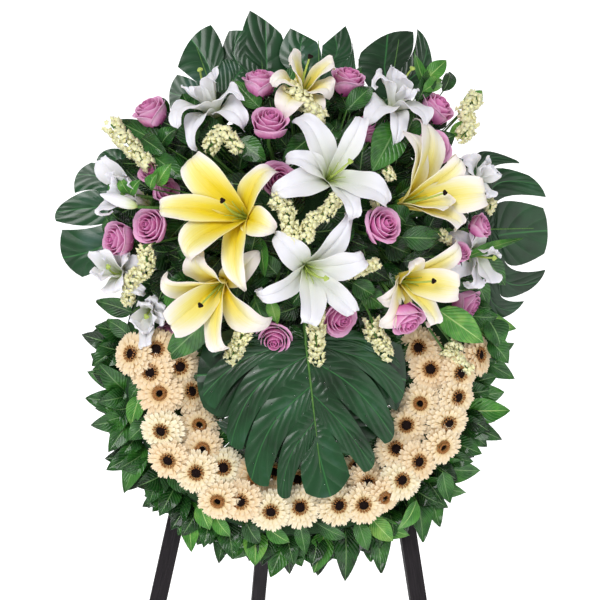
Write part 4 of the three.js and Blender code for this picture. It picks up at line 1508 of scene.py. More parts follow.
# The first ten stand for a solid of the frame each
ROSES = (
    RosePlace("upper_left", (-261, 434), cast=0, lean=(-0.5, 0.75, 0.45)),
    RosePlace("top_middle", (-52, 416), cast=1, lean=(0.0, 0.7, 0.7), sunk=-6),
    RosePlace("far_left", (-318, 210), cast=0, lean=(-0.8, 0.0, 0.6)),
    RosePlace("left", (-261, 234), cast=1, lean=(-0.6, 0.1, 0.8)),
    RosePlace("middle_right", (146, 235), cast=2, lean=(0.4, 0.32, 0.85), sunk=-6),
    RosePlace("lower_middle", (-44, 38), cast=1, lean=(-0.15, -0.5, 0.82)),
    RosePlace("lower_right", (68, 74), cast=1, lean=(0.4, -0.35, 0.85)),
    RosePlace("under_lily", (186, 72), cast=0, lean=(0.35, -0.7, 0.6), sunk=-54),
    RosePlace("far_right", (292, 98), cast=0, lean=(0.75, -0.45, 0.5), sunk=0),
    RosePlace("upper_right", (240, 441), cast=1, lean=(0.5, 0.65, 0.6)),
    RosePlace("top_bud", (-70, 486), False, 0, (-0.1, 0.9, 0.4)),
    RosePlace("top_right", (84, 490), False, 1, (0.1, 0.85, 0.5)),
    RosePlace("right_bud", (119, 406), False, 0, (-0.2, 0.6, 0.75), 30, 0.95),
    RosePlace("behind_lily", (233, 373), False, 1, (0.3, 0.3, 0.9)),
    RosePlace("left_bud", (-258, 329), False, 0, (-0.4, 0.4, 0.8), 20, 0.8),
    RosePlace("left_side", (-236, 298), False, 0, (0.5, 0.2, 0.85), 26, 0.85),
    RosePlace("middle_left", (-38, 315), False, 1, (0.1, 0.1, 0.98), 34),
    RosePlace("low_left", (-224, 44), False, 0, (-0.5, -0.4, 0.75), 16, 0.95),
    RosePlace("right_edge", (316, 234), False, 0, (0.75, 0.3, 0.6), -20, 0.8),
    RosePlace("right_under", (280, 187), False, 0, (0.2, 0.5, 0.85), -22, 0.7),
)


@dataclass
class Roses:
    """The mauve roses in the spray."""

    heads: RoseHeads = field(default_factory=RoseHeads)

    def build(self, shop: Workshop) -> None:
        """Builds every rose on its stem."""
        for number, rose in enumerate(ROSES):
            rng = random.Random(300 + number)
            place = SIGHT.at(rose.seen, DOME.depth(rose.seen) - rose.sunk)
            facing = Vector(rose.lean).normalized()
            model = Model(ROSE_SLOTS)
            turn = Matrix.Translation(place) @ upright(facing, rng.uniform(0, 6.28))
            model.add(self.heads.casts[rose.cast], turn @ Matrix.Scale(rose.size, 4))
            start = place - facing * 28 * rose.size
            model.stem(bow(start, start - facing * 30, DOME.anchor(place)), 3.0)
            node = f"rose_{rose.name}" if rose.node else None
            shop.place(f"mauve_rose_{rose.name}", model, "rose_petal", node)


@dataclass(frozen=True)
class Spike:
    """One spike of statice: the places it runs through as seen, and its half width."""

    name: str
    points: tuple[Seen, ...]
    half_width: float = 12.0
    depth: float = 0.0
    node: Optional[str] = None
    rise: float = 0.0


SPIKES = (
    Spike("hanging_middle", ((29, 95), (28, 40), (29, -8)), 16.5, 6, "statice_hanging_middle", 34),
    Spike("hanging_right", ((125, 73), (130, 46), (155, 8)), 17, 6, "statice_hanging_right", 34),
    Spike("hanging_left", ((-91, 68), (-104, 35), (-124, -2)), 15.5, 12, None, 26),
    Spike("upper_left", ((-330, 412), (-300, 378), (-262, 336)), 18, -2),
    Spike("left", ((-273, 200), (-266, 164), (-296, 138), (-300, 100)), 15, 8),
    Spike("under_lily_left", ((-163, 366), (-136, 402), (-105, 368)), 15, 4),
    Spike("middle_left", ((-52, 282), (-25, 268), (-19, 236), (-6, 212)), 16, 6),
    Spike("middle", ((7, 208), (17, 243), (42, 255), (68, 287)), 15, 8),
    Spike("top", ((-18, 482), (12, 448), (40, 420)), 17, 14),
    Spike("far_upper_right", ((311, 462), (287, 434), (298, 408), (282, 390)), 17, 2),
    Spike("middle_right", ((78, 150), (100, 157), (136, 170)), 12, 2),
    Spike("right_brown", ((124, 300), (136, 258)), 8, -18),
    Spike("beside_lily", ((148, 336), (163, 316)), 10, -4),
    Spike("right", ((243, 224), (262, 208)), 9, -10),
    Spike("low_right", ((250, 20), (272, 6), (299, -20)), 11, 26),
    Spike("low_right_tip", ((262, 34), (280, 18)), 10, 24),
    Spike("edge_right", ((338, 282), (330, 258)), 10, -2),
)


@dataclass
class Statice:
    """The spikes of small cream florets between the larger flowers."""

    spacing: float = 2.9
    floret_radius: float = 5.6
    notch: float = 0.68

    def floret(self) -> Mesh:
        """Makes one papery five-lobed cup."""
        bm = new_shape()
        bmesh.ops.create_cone(bm, cap_ends=True, segments=10, radius1=1.1,
                              radius2=self.floret_radius, depth=5.5)
        bmesh.ops.translate(bm, vec=(0, 0, 1.2), verts=bm.verts[:])
        bm.faces.ensure_lookup_table()
        top = max(bm.faces, key=lambda f: f.calc_center_median().z)
        rim = sorted(top.verts, key=lambda v: math.atan2(v.co.y, v.co.x))
        for i, vert in enumerate(rim):
            if i % 2:
                vert.co.x *= self.notch
                vert.co.y *= self.notch
                vert.co.z -= 0.9
        bmesh.ops.poke(bm, faces=[top], offset=-1.2)
        return to_mesh(bm)

    def build(self, shop: Workshop) -> None:
        """Builds every spike on its stem."""
        floret = self.floret()
        for number, spike in enumerate(SPIKES):
            rng = random.Random(400 + number)
            last = len(spike.points) - 1
            points = [SIGHT.at(p, DOME.depth(p) + spike.depth + spike.rise * i / last)
                      for i, p in enumerate(spike.points)]
            path = through(points)
            length = sum((b - a).length for a, b in zip(points, points[1:]))
            model = Model(["statice_floret", "leaf_stem"])
            count = int(length / self.spacing * 2.6 * spike.half_width / 11)
            for i in range(count):
                t = (i + rng.random()) / count
                taper = 0.86 + 0.14 * math.sin(math.pi * min(1.0, 0.15 + t * 0.9))
                ahead = (path(min(1, t + 0.02)) - path(max(0, t - 0.02))).normalized()
                side = ahead.orthogonal().normalized()
                angle = i * GOLDEN_ANGLE + rng.uniform(-0.4, 0.4)
                out = Matrix.Rotation(angle, 3, ahead) @ side
                reach = spike.half_width * taper * rng.uniform(0.45, 0.95) - 2
                facing = (out + ahead * rng.uniform(0.0, 0.6)).normalized()
                spot = Matrix.Translation(path(t) + out * max(1.0, reach))
                size = rng.uniform(0.75, 1.15)
                turn = upright(facing, rng.uniform(0, 6.28)) @ Matrix.Scale(size, 4)
                model.add(floret, spot @ turn, "statice_floret", rng.random())
            model.add(tube(path, lambda t: 2.2 - t, 6, 14), None, "leaf_stem", 0.4)
            start = points[0]
            foot = DOME.anchor(start)
            pull = start + (foot - start) * 0.4 + Vector((0, 0, -10))
            model.stem(bow(start, pull, foot), 2.0, 6, 8, 0.4)
            shop.place(f"statice_{spike.name}", model, "statice_floret", spike.node)


Cut = tuple[float, Seen]
End = tuple[Seen, Seen]


@dataclass
class Monstera:
    """One split leaf, from its stalk's joint to its tip.

    Its lobes lie side by side: between two cuts, each the share of the midrib where the lobe's
    edge starts and the slot's inner end as seen, and out to the two corners of the lobe's end.
    """

    name: str
    start: Way
    end: Way
    width: float
    cuts: tuple[Cut, ...]
    ends: tuple[End, ...]
    tone: float = 0.4
    swell: float = 2.6
    thickness: float = 1.1
    bulge: float = 0.26
    drops: int = 0

    def frame(self) -> Matrix:
        """Gives the leaf's place: x across it, y from its joint to its tip."""
        start = SIGHT.at(self.start[:2], self.start[2])
        end = SIGHT.at(self.end[:2], self.end[2])
        along = end - start
        self.length = along.length
        along.normalize()
        across = along.cross(Vector((0, 0, 1))).normalized()
        basis = Matrix((across, along, across.cross(along))).transposed().to_4x4()
        return Matrix.Translation(start) @ basis

    def on_leaf(self, place: Matrix, seen: Seen) -> Vector:
        """Finds where a line of sight meets the leaf's plane.

        Args:
            place: the leaf's place.
            seen: the place as seen.

        Returns:
            The place, in the leaf's own frame.
        """
        inverse = place.inverted()
        eye = inverse @ SIGHT.eye
        ray = inverse @ SIGHT.at(seen, self.start[2]) - eye
        return eye - ray * (eye.z / ray.z)

    def height(self, point: Vector) -> float:
        """Gives how far the blade stands out of its plane: folded up at first, then drooping."""
        reach = abs(point.x) / (self.width / 2)
        return self.width * (0.05 * reach - 0.09 * reach * reach)

    def edge(self, place: Matrix, cut: Cut, corner: Seen) -> Path:
        """Gives a lobe's edge, from the midrib along the cut to a corner.

        Args:
            place: the leaf's place.
            cut: the cut beside the lobe.
            corner: the lobe's corner as seen.

        Returns:
            The edge, from 0 to 1.
        """
        root = Vector((0, self.length * cut[0], 0))
        inner, end = self.on_leaf(place, cut[1]), self.on_leaf(place, corner)
        pull = inner + (inner - root).normalized() * (end - inner).length * 0.45
        outer = bow(inner, pull, end)
        return lambda t: root.lerp(inner, 2 * t) if t <= 0.5 else outer(2 * t - 1)

    def blade(self, place: Matrix) -> Mesh:
        """Makes the blade of lobes, welded near the midrib and split towards the rim."""
        bm = new_shape()
        for low, high, (first, last) in zip(self.cuts, self.cuts[1:], self.ends):
            self.add_lobe(bm, self.edge(place, low, first), self.edge(place, high, last))
        thicken(bm, self.thickness, 0.3)
        return to_mesh(bm)

    def add_lobe(self, bm: bmesh.types.BMesh, low: Path, high: Path) -> None:
        """Adds the sheet between a lobe's two edges.

        Args:
            bm: the shape.
            low: the edge where the lobe begins.
            high: the edge where the lobe ends.
        """
        way = ((low(1) + high(1)) / 2 - (low(0.3) + high(0.3)) / 2).normalized()
        bulge = self.bulge * (high(1) - low(1)).length

        def shape(s: float, t: float) -> Vector:
            """Gives a point of the lobe."""
            off = 2 * s - 1
            point = low(t).lerp(high(t), s) + way * (bulge * (1 - off * off) * t ** 3)
            point.z = self.height(point)
            point.z += self.swell * math.sin(math.pi * off) ** 2 * math.sin(0.9 * math.pi * t)
            return point

        grid(bm, shape, 8, 16)

    def build(self, shop: Workshop) -> None:
        """Builds the leaf on its stalk."""
        place = self.frame()
        along = (place.to_3x3() @ Vector((0, 1, 0))).normalized()
        start = place.translation
        model = Model(["monstera_leaf", "leaf_stem", "water"])
        model.add(self.blade(place), place, "monstera_leaf", self.tone)
        rib = tube(lambda t: Vector((0, self.length * 0.82 * t, 0.4)),
                   lambda t: 2.2 - 1.5 * t, 8, 12)
        model.add(rib, place, "leaf_stem", 0.2)
        foot = DOME.anchor(start)
        foot.z = FOAM_HEIGHT + 16
        model.stem(bow(start + along * 8, start - along * 12, foot), 3.0, tone=0.2)
        self.add_drops(model, place)
        shop.place(f"split_leaf_{self.name}", model, "monstera_leaf", f"monstera_{self.name}")

    def add_drops(self, model: Model, place: Matrix) -> None:
        """Scatters drops of water over the blade's front.

        Args:
            model: the piece in the making.
            place: the leaf's place.
        """
        rng = random.Random("drops" + self.name)
        bm = new_shape()
        bmesh.ops.create_icosphere(bm, subdivisions=2, radius=1)
        drop = to_mesh(bm)
        for _ in range(self.drops):
            spot = Vector((rng.gauss(0, 0.2) * self.width, rng.uniform(0.15, 0.9) * self.length, 0))
            spot.z = self.height(spot) + 0.6
            size = rng.uniform(1.0, 2.4)
            shrink = Matrix.Diagonal((size, size, size * 0.6, 1))
            model.add(drop, place @ Matrix.Translation(spot) @ shrink, "water")


MONSTERAS = (
    Monstera(
        "middle", (10, 35, 118), (42, -248, 122), 330,
        ((0.0, (-37, 48)), (0.0, (-65, 33)), (0.02, (-60, -1)), (0.17, (-34, -48)),
         (0.4, (-7, -110)), (0.6, (10, -163)), (0.46, (47, -120)), (0.2, (48, -50)),
         (0.02, (85, -4)), (0.0, (95, 23)), (0.0, (46, 50))),
        (((-114, 41), (-152, 4)), ((-160, -21), (-148, -87)), ((-128, -126), (-100, -157)),
         ((-97, -168), (-55, -221)), ((-40, -231), (-18, -240)), ((10, -233), (87, -203)),
         ((111, -196), (131, -166)), ((149, -147), (165, -109)), ((169, -77), (179, -28)),
         ((177, -16), (152, 18))), tone=0.4, drops=70),
    Monstera(
        "behind", (8, 62, 98), (-6, -150, 104), 345,
        ((0.0, (-79, 61)), (0.35, (-122, -97)), (0.6, (-40, -130)), (0.6, (22, -140)),
         (0.35, (132, -72)), (0.0, (88, 52))),
        (((-163, 35), (-168, -84)), ((-146, -108), (-70, -160)), ((-50, -165), (10, -165)),
         ((30, -165), (150, -120)), ((172, -90), (180, 26))), tone=0.2, bulge=0.12),
    Monstera(
        "upper_left", (-131, 411, 55), (-192, 578, 36), 190,
        ((0.0, (-170, 416)), (0.3, (-177, 483)), (0.3, (-135, 522)), (0.0, (-96, 458))),
        (((-224, 432), (-215, 499)), ((-214, 513), (-156, 586)), ((-116, 522), (-91, 486))),
        tone=0.55, swell=0.7, bulge=0.14),
    Monstera(
        "top_left", (-62, 440, 40), (-72, 609, 26), 140,
        ((0.05, (-126, 511)), (0.4, (-86, 522)), (0.4, (-30, 494)), (0.0, (-40, 446))),
        (((-124, 576), (-80, 572)), ((-88, 611), (-33, 570)), ((-18, 494), (-18, 458))), tone=0.4,
        swell=0.7, bulge=0.05),
    Monstera(
        "top", (34, 450, 56), (32, 583, 40), 150,
        ((0.05, (-26, 514)), (0.35, (37, 528)), (0.35, (80, 525)), (0.0, (88, 476))),
        (((-17, 581), (29, 557)), ((39, 550), (80, 585)), ((91, 567), (99, 507))), tone=0.35,
        swell=0.7, bulge=0.0),
    Monstera(
        "top_right", (150, 425, 42), (178, 590, 28), 150,
        ((0.0, (107, 500)), (0.4, (187, 522)), (0.05, (222, 480))),
        (((107, 539), (198, 574)), ((205, 579), (233, 518))), tone=0.15, swell=0.7, bulge=0.14),
    Monstera(
        "left", (-236, 254, 44), (-426, 254, 28), 225,
        ((0.0, (-294, 350)), (0.25, (-329, 329)), (0.4, (-340, 287)), (0.4, (-318, 250)),
         (0.1, (-338, 170))),
        (((-318, 371), (-357, 350)), ((-366, 346), (-394, 292)), ((-413, 276), (-427, 243)),
         ((-416, 228), (-382, 145))), tone=0.6, swell=1.4, bulge=0.2),
    Monstera(
        "right", (290, 228, 44), (434, 231, 28), 245,
        ((0.0, (308, 350)), (0.2, (327, 317)), (0.35, (338, 254)), (0.35, (355, 180)),
         (0.2, (350, 121)), (0.0, (322, 102))),
        (((380, 352), (388, 345)), ((401, 324), (430, 285)), ((425, 266), (427, 186)),
         ((430, 158), (402, 121)), ((397, 103), (364, 74))), tone=0.3, swell=1.4, bulge=0.1),
)


class LeafCasts:
    """Ready-made small leaves along +Y, 62 mm long and 17 mm in half width."""

    length = 62.0
    half_width = 17.0

    def __init__(self) -> None:
        """Makes leaves that fold, arch and twist by different amounts."""
        self.casts = [self.leaf(*bend) for bend in ((4, 5, 0), (6, 9, 3), (3, -3, -3), (7, 6, -2))]

    def leaf(self, fold: float, arch: float, twist: float) -> Mesh:
        """Makes one leaf.

        Args:
            fold: how far its edges stand above its midrib.
            arch: how far its middle rises above its ends.
            twist: how far its edges part in height at its tip.

        Returns:
            The leaf's mesh.
        """

        def shape(s: float, t: float) -> Vector:
            """Gives a point of the leaf."""
            off = 2 * s - 1
            broad = math.sin(math.pi * t ** 0.82) ** 0.78 * (1 - 0.25 * t)
            half = self.half_width * 1.12 * broad + 0.8 * (1 - t)
            z = arch * math.sin(math.pi * t) - 0.25 * abs(arch) * t + fold * abs(off) ** 1.3 * broad
            z += twist * off * t + 0.9 * math.sin(9 * t + 2 * off) * off * off
            return Vector((off * half, self.length * t, z))

        return sheet(shape, 6, 10, 0.7)

    def place(self, base: Vector, tip: Vector, facing: Vector, half_width: float) -> Matrix:
        """Gives the place of a leaf from its base, tip, facing and half width.

        Args:
            base: where it starts.
            tip: where it ends.
            facing: the way it faces.
            half_width: its half width.

        Returns:
            The leaf's place.
        """
        along = tip - base
        across = along.cross(facing).normalized()
        up = across.cross(along).normalized()
        wide, long = half_width / self.half_width, along.length / self.length
        basis = Matrix((across * wide, along.normalized() * long, up)).transposed().to_4x4()
        return Matrix.Translation(base) @ basis


@dataclass(frozen=True)
class LeafPlace:
    """One leaf among the flowers: its base and tip as seen, half width, lift and kind."""

    base: Seen
    tip: Seen
    half_width: float = 17.0
    lift: float = 0.0
    young: bool = False


def leaf_places(*rows: tuple[float, ...]) -> tuple[LeafPlace, ...]:
    """Reads rows of base, tip, half width, lift and whether the leaf is young."""
    return tuple(LeafPlace(row[:2], row[2:4], *row[4:]) for row in rows)


LEAVES = leaf_places(
    (-70, 441, -119, 493, 17, 4), (82, 437, 127, 480, 16, 8), (170, 413, 127, 330, 29, 8),
    (-277, 389, -231, 357, 15, 0), (-257, 357, -200, 316, 17, 0),
    (-231, 372, -324, 421, 19, -8), (178, 215, 247, 213, 20, 8),
    (242, 88, 322, 30, 25, 34, True), (-166, 66, -236, 0, 24, 30), (-205, 120, -252, 70, 19, 6),
    (-293, 83, -357, 103, 17, 6), (-298, 42, -338, 70, 15, 6),
    (-306, 288, -336, 308, 11, 26, True), (-300, 292, -316, 322, 9, 30, True),
    (-298, 290, -280, 316, 10, 30, True), (221, 478, 201, 541, 12, 20, True),
    (221, 492, 257, 525, 14, 20, True), (215, 470, 249, 489, 12, 20, True),
    (207, 455, 234, 512, 14, 14), (60, 408, 40, 380, 18, -10), (20, 390, -30, 350, 18, -16),
    (-110, 385, -60, 350, 20, -20), (110, 120, 150, 90, 18, -6), (92, 136, 132, 112, 17, -8),
    (60, 215, 95, 240, 18, -20), (-60, 60, -10, 40, 12, -6), (-80, 110, -60, 60, 14, -14),
    (-215, 190, -160, 205, 16, -20), (-205, 225, -180, 190, 15, -20),
    (300, 150, 330, 90, 18, -16), (320, 180, 360, 130, 19, -14), (330, 70, 352, 22, 24, 10),
    (330, 36, 366, -6, 18, 6), (296, 78, 348, 76, 18, 6), (218, 260, 262, 270, 15, -10),
    (248, 262, 284, 290, 15, -10), (-340, 250, -310, 210, 16, -14),
    (185, 240, 150, 270, 18, -24), (-40, 150, -75, 190, 17, -24), (130, 395, 150, 430, 14, -6),
    (250, 470, 262, 505, 12, -10), (178, 380, 202, 434, 20, -14), (222, 425, 200, 474, 17, -10),
    (-186, 376, -206, 434, 20, -14), (-146, 380, -170, 430, 19, -16),
    (246, 152, 306, 138, 20, -10), (262, 122, 320, 128, 18, -8), (262, 312, 306, 350, 20, -12),
    (284, 436, 320, 472, 15, -6, True), (262, 398, 306, 402, 15, -6, True),
    (-70, 215, -62, 145, 10, -6, True), (-52, 104, -40, 62, 11, 2, True),
    (110, 40, 150, 70, 16, -16), (-250, 306, -226, 344, 13, 30, True),
    (-262, 300, -248, 330, 10, 34, True), (-30, 466, -8, 516, 17, -14),
    (88, 470, 108, 512, 15, -12), (300, 98, 336, 90, 14, -8), (-244, 376, -212, 408, 15, -10),
    (-86, 186, -74, 232, 15, -16), (-226, 130, -196, 84, 20, -4),
)

# The leaves pushed in under the gerberas, over the tray's lip
LIP_LEAVES = leaf_places(
    (-268, -20, -300, -70, 16), (-280, -62, -296, -116, 15, 0, True),
    (-262, -104, -300, -140, 17), (-228, -180, -196, -236, 15),
    (-175, -252, -158, -298, 15, 0, True), (-150, -272, -122, -310, 13, 0, True),
    (-96, -280, -70, -322, 14), (-58, -292, -18, -320, 14, 0, True), (0, -288, 10, -340, 13),
    (30, -286, 84, -312, 13), (100, -280, 118, -334, 14), (124, -276, 163, -318, 17, 0, True),
    (204, -246, 170, -300, 15, 0, True), (250, -196, 262, -250, 15),
)

# The collar's leaves by the middle of each as seen, round the ring's rim
RIM_LEAVES: tuple[Seen, ...] = (
    (-341, 5), (-333, -26), (-318, -65), (-297, -79), (-318, -105), (-318, -135), (-311, -175),
    (-297, -205), (-254, -224), (-231, -245), (-210, -262), (-192, -306), (-166, -298),
    (-122, -315), (-79, -329), (-38, -350), (-9, -333), (32, -345), (66, -333), (79, -350),
    (122, -324), (140, -341), (166, -298), (210, -289), (236, -262), (262, -228), (289, -192),
    (324, -126), (333, -88), (327, -61), (350, -18), (350, 18), (346, 61),
)


@dataclass
class Greenery:
    """The small leaves: the collar round the rim, those between the flowers, and the fill."""

    casts: LeafCasts = field(default_factory=LeafCasts)
    twig_radius: float = 2.0
    twig_ring: float = 306.3
    twig_depth: float = 14.0
    lip_depth: float = 59.0
    fill_count: int = 150
    fill_reach: tuple[float, float] = (0.78, 0.82)
    fill_top: float = 150.0
    shallowest: float = 24.0
    back_middle: Seen = (2.0, 222.0)
    back_reach: tuple[float, float] = (318.0, 222.0)
    back_step: float = 41.0
    back_rows: int = 7
    back_row_step: float = 0.87
    back_jitter: float = 7.0
    lining_count: int = 30
    group_size: int = 5
    young_share: float = 0.16
    leaf_pitch: float = 5.2
    arcs: tuple[tuple[str, float, float], ...] = (
        ("left", 170, 224), ("lower_left", 224, 270), ("lower_right", 270, 316),
        ("right", 316, 372))

    def build(self, shop: Workshop) -> None:
        """Builds all the small leaves."""
        for name, start, end in self.arcs:
            self.collar(shop, name, start, end)
        self.between(shop)
        self.fill(shop)
        self.lining(shop)
        self.blade(shop)
        self.bud(shop)

    def leaf(self, model: Model, base: Vector, tip: Vector, facing: Vector, half_width: float,
             rng: random.Random, tone: float, young: bool = False) -> None:
        """Adds one leaf to a model.

        Args:
            model: the piece in the making.
            base: where it starts.
            tip: where it ends.
            facing: the way it faces.
            half_width: its half width.
            rng: the run of small differences.
            tone: its tone.
            young: whether it is a young leaf.
        """
        finish = "young_leaf" if young else "foliage_leaf"
        cast = rng.choice(self.casts.casts)
        model.add(cast, self.casts.place(base, tip, facing, half_width), finish, tone)

    def collar(self, shop: Workshop, name: str, start: float, end: float) -> None:
        """Builds one stretch of the collar: its twig, the leaves seen and those behind.

        Args:
            shop: the workshop.
            name: the stretch's name.
            start: the stretch's first angle in degrees.
            end: the stretch's last angle in degrees.
        """
        rng = random.Random("collar" + name)
        model = Model(LEAF_SLOTS)

        def on_ring(degrees: float, depth: float, radius: float) -> Vector:
            """Gives a point round the rim."""
            angle = math.radians(degrees)
            return Vector((radius * math.cos(angle), radius * math.sin(angle), depth))

        def twig(t: float) -> Vector:
            """Runs along the stretch, a little short of its ends."""
            return on_ring(start + 2 + (end - start - 4) * t, self.twig_depth, self.twig_ring)

        model.stem(twig, self.twig_radius, 6, 24, 0.3)
        for i, seen in enumerate(RIM_LEAVES):
            depth = 34 if i % 2 else 24
            middle = SIGHT.at(seen, depth)
            degrees = math.degrees(math.atan2(middle.y, middle.x)) % 360
            if degrees < 100:
                degrees += 360
            if not start <= degrees < end:
                continue
            base = on_ring(degrees + rng.uniform(-7, 7), self.twig_depth + 3, self.twig_ring - 4)
            reach = middle - base
            reach.z = 0
            out = reach.normalized() if reach.length > 8 else base.normalized()
            tip = middle + out * rng.uniform(26, 34)
            tip.z = depth + rng.uniform(2, 14)
            facing = Vector((0, 0, 1)) + base.normalized() * rng.uniform(-0.1, 0.5)
            self.leaf(model, base, tip, facing, rng.uniform(18, 23), rng, rng.uniform(0.3, 0.9),
                      rng.random() < self.young_share)
        self.over_lip(model, name, start, end)
        count = round((end - start) / self.leaf_pitch)
        for layer in range(3):
            for i in range(count):
                degrees = start + (end - start) * (i + 0.5 + rng.uniform(-0.3, 0.3)) / count
                if layer == 2 and i % 2:
                    continue
                length = (rng.uniform(44, 62), rng.uniform(52, 74), rng.uniform(40, 60))[layer]
                sway = rng.uniform(-0.5, 0.5)
                base = on_ring(degrees, self.twig_depth + (3, 0, -3)[layer], self.twig_ring - 2)
                out = Matrix.Rotation(sway, 3, "Z") @ base.normalized()
                out.z = (0.5, 0.15, -0.3)[layer] + rng.uniform(-0.12, 0.12)
                tip = base + out.normalized() * length
                facing = Vector((0, 0, 1)) + base.normalized() * rng.uniform(-0.2, 0.4)
                self.leaf(model, base, tip, facing, rng.uniform(15, 20), rng, rng.uniform(0.0, 0.7))
        shop.place(f"collar_{name}", model, "foliage_leaf", f"collar_sprig_{name}")

    def over_lip(self, model: Model, name: str, start: float, end: float) -> None:
        """Adds the leaves over the tray's lip, each with its stalk in the foam.

        Args:
            model: the piece in the making.
            name: the stretch's name.
            start: the stretch's first angle in degrees.
            end: the stretch's last angle in degrees.
        """
        rng = random.Random("lip" + name)
        for place in LIP_LEAVES:
            base = SIGHT.at(place.base, self.lip_depth)
            if not start <= math.degrees(math.atan2(base.y, base.x)) % 360 < end:
                continue
            tip = SIGHT.at(place.tip, self.lip_depth - 4)
            facing = Vector((0, 0, 1)) + base.normalized() * 0.35
            self.leaf(model, base, tip, facing, place.half_width, rng, rng.uniform(0.3, 0.8),
                      place.young)
            foot = Vector((base.x * 0.95, base.y * 0.95, base.z - 26))
            model.stem(through([base, foot]), 1.2, 6, 4, 0.3)

    def between(self, shop: Workshop) -> None:
        """Builds the leaves that show between the flowers, in small groups."""
        size = self.group_size
        groups = [LEAVES[i:i + size] for i in range(0, len(LEAVES), size)]
        for number, group in enumerate(groups):
            rng = random.Random(600 + number)
            model = Model(LEAF_SLOTS)
            for place in group:
                depth = DOME.depth(place.base) - 14 + place.lift
                base = SIGHT.at(place.base, depth)
                tip = SIGHT.at(place.tip, DOME.depth(place.tip) - 8 + place.lift)
                facing = DOME.facing(base, 0.6)
                tone = rng.uniform(0.35, 0.8)
                self.leaf(model, base, tip, facing, place.half_width, rng, tone, place.young)
                foot = DOME.anchor(base)
                pull = base * 0.6 + foot * 0.4 - Vector((0, 0, 12))
                model.stem(bow(base, pull, foot), 1.2, 6, 6, 0.3)
            shop.place(f"leaves_between_{number + 1}", model, "foliage_leaf")

    def fill(self, shop: Workshop) -> None:
        """Fills the spray below its flowers with leaves toned darker as painted shade deep in the
        spray, spread evenly in two layers.
        """
        rng = random.Random(700)
        quarters = [Model(LEAF_SLOTS) for _ in range(4)]
        near = []
        wide, high = self.fill_reach[0] * DOME.half_width, self.fill_reach[1] * DOME.half_height
        for i in range(self.fill_count):
            share, angle = math.sqrt((i + 0.5) / self.fill_count), i * GOLDEN_ANGLE
            across = share * wide * math.cos(angle)
            rise = min(self.fill_top, share * high * math.sin(angle))
            near.append((DOME.x + across, DOME.up + rise))
        for i, seen in enumerate(near + self.back_places(rng)):
            back = i >= len(near)
            sunk = rng.uniform(88, 118) if back else rng.uniform(46, 80)
            base = SIGHT.at(seen, max(self.shallowest, DOME.depth(seen) - sunk))
            away = Vector((seen[0] - self.back_middle[0], seen[1] - self.back_middle[1]))
            share = min(1.0, away.length / self.back_reach[0])
            turned = math.atan2(away.y, away.x) + rng.uniform(-1.2, 1.2)
            turned += math.pi if back and i % 2 else 0.0
            way = Vector((math.cos(turned), 0.8 * math.sin(turned), rng.uniform(-0.1, 0.4)))
            length = rng.uniform(78, 98) if back else rng.uniform(52, 76)
            tip = base + way.normalized() * length * (1 - 0.3 * share)
            facing = DOME.facing(base) + Vector((rng.uniform(-0.4, 0.4), rng.uniform(-0.4, 0.4), 0))
            if back:
                base, facing = base - way.normalized() * 0.5 * length, facing + Vector((0, 0, 1.2))
                tip = tip - way.normalized() * 0.5 * length
            model = quarters[i % 4]
            half_width = rng.uniform(28, 34) if back else rng.uniform(17, 23)
            # A low tone darkens these deep leaves: painted shade
            self.leaf(model, base, tip, facing, half_width, rng, rng.uniform(0.0, 0.4))
            foot = DOME.anchor(base)
            model.stem(bow(base, base * 0.5 + foot * 0.5, foot), 1.2, 5, 4, 0.2)
        for number, model in enumerate(quarters):
            shop.place(f"fill_leaves_{number + 1}", model, "foliage_leaf")

    def back_places(self, rng: random.Random) -> list[Seen]:
        """Gives the places of the leaves that close the spray's back, on a loose grid."""
        middle, reach, step = self.back_middle, self.back_reach, self.back_step
        places = []
        rows, jitter = self.back_rows, self.back_jitter
        for row in range(-rows, rows + 1):
            for column in range(-rows - 1, rows + 2):
                across, rise = (column + 0.5 * (row % 2)) * step, row * self.back_row_step * step
                if math.hypot(across / reach[0], rise / reach[1]) <= 1:
                    places.append((middle[0] + across + rng.uniform(-jitter, jitter),
                                   middle[1] + rise + rng.uniform(-jitter, jitter)))
        return places

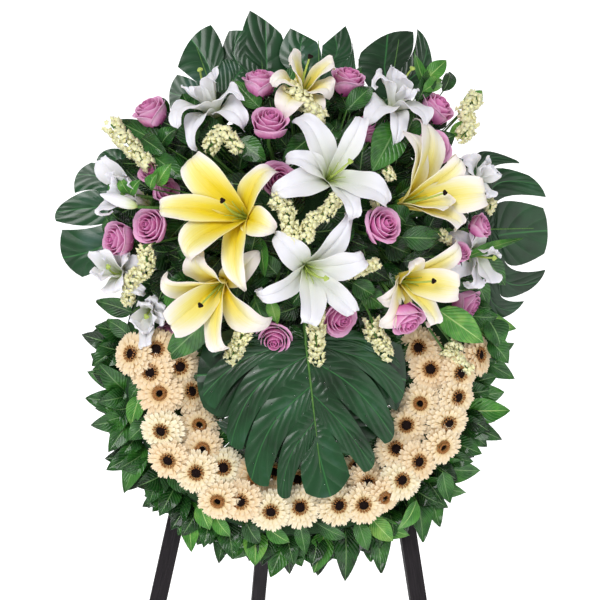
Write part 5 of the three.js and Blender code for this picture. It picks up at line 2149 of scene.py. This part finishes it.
    def lining(self, shop: Workshop) -> None:
        """Builds the dark leaves that line the ring's hole behind the gerberas."""
        rng = random.Random(800)
        model = Model(LEAF_SLOTS)
        for i in range(self.lining_count):
            degrees = 150 + 240 * (i + rng.uniform(0.2, 0.8)) / self.lining_count
            angle = math.radians(degrees)
            inward = Vector((-math.cos(angle), -math.sin(angle), 0))
            base = inward * -(RING_RADIUS - FOAM_HALF_WIDTH + 6)
            base.z = rng.uniform(50, 62)
            way = Matrix.Rotation(rng.uniform(-0.5, 0.5), 3, "Z") @ inward
            way.z = rng.uniform(0.05, 0.35)
            tip = base + way.normalized() * rng.uniform(46, 64)
            facing = Vector((rng.uniform(-0.3, 0.3), rng.uniform(-0.3, 0.3), 1))
            self.leaf(model, base, tip, facing, rng.uniform(17, 22), rng, rng.uniform(0.1, 0.6))
            root = base - inward * 14
            root.z = FOAM_HEIGHT - 10
            model.stem(through([base, root]), 1.3, 6, 2, 0.2)
        shop.place("lining_leaves", model, "foliage_leaf")

    def blade(self, shop: Workshop) -> None:
        """Builds the long narrow leaf at the right."""
        base, tip = (286, 178), (392, 214)
        start = SIGHT.at(base, DOME.depth(base) + 4)
        end = SIGHT.at(tip, 70)
        model = Model(["young_leaf", "leaf_stem"])
        casts = self.casts
        place = casts.place(start, end, Vector((0.2, 0.6, 0.8)), 9)
        model.add(casts.casts[0], place, "young_leaf", 0.4)
        shop.place("long_blade_leaf", model, "foliage_leaf")

    def bud(self, shop: Workshop) -> None:
        """Builds the shut lily bud at the left, with its stalk."""
        base, tip = (-284, 268), (-350, 290)
        start = SIGHT.at(base, DOME.depth(base) + 26)
        end = SIGHT.at(tip, DOME.depth(base) + 18)
        model = Model(["white_lily_petal", "leaf_stem"])
        skin = tube(through([start, end]),
                    lambda t: 1 + 9 * math.sin(math.pi * t ** 0.8) ** 0.8, 12, 14)
        model.add(skin, None, "white_lily_petal", 0.5)
        foot = DOME.anchor(start)
        model.stem(bow(start, start * 0.6 + foot * 0.4, foot), 2.4)
        shop.place("lily_bud_left", model, "white_lily_petal")


def main() -> None:
    """Builds the studio and every piece in turn."""
    logging.basicConfig(level=logging.INFO, format="%(name)s %(message)s")
    Studio().build()
    shop = Workshop()
    Easel().dress(shop)
    WreathBase().build(shop)
    for leaf in MONSTERAS:
        leaf.build(shop)
    Gerberas().build(shop)
    Greenery().build(shop)
    for lily in LILIES:
        lily.build(shop)
    Roses().build(shop)
    Statice().build(shop)
    triangles = 0
    for piece in bpy.context.scene.objects:
        if piece.type == "MESH" and not piece.hide_render:
            piece.data.calc_loop_triangles()
            triangles += len(piece.data.loop_triangles)
    LOG.info("all pieces: %d triangles", triangles)


if __name__ == "__main__":
    main()
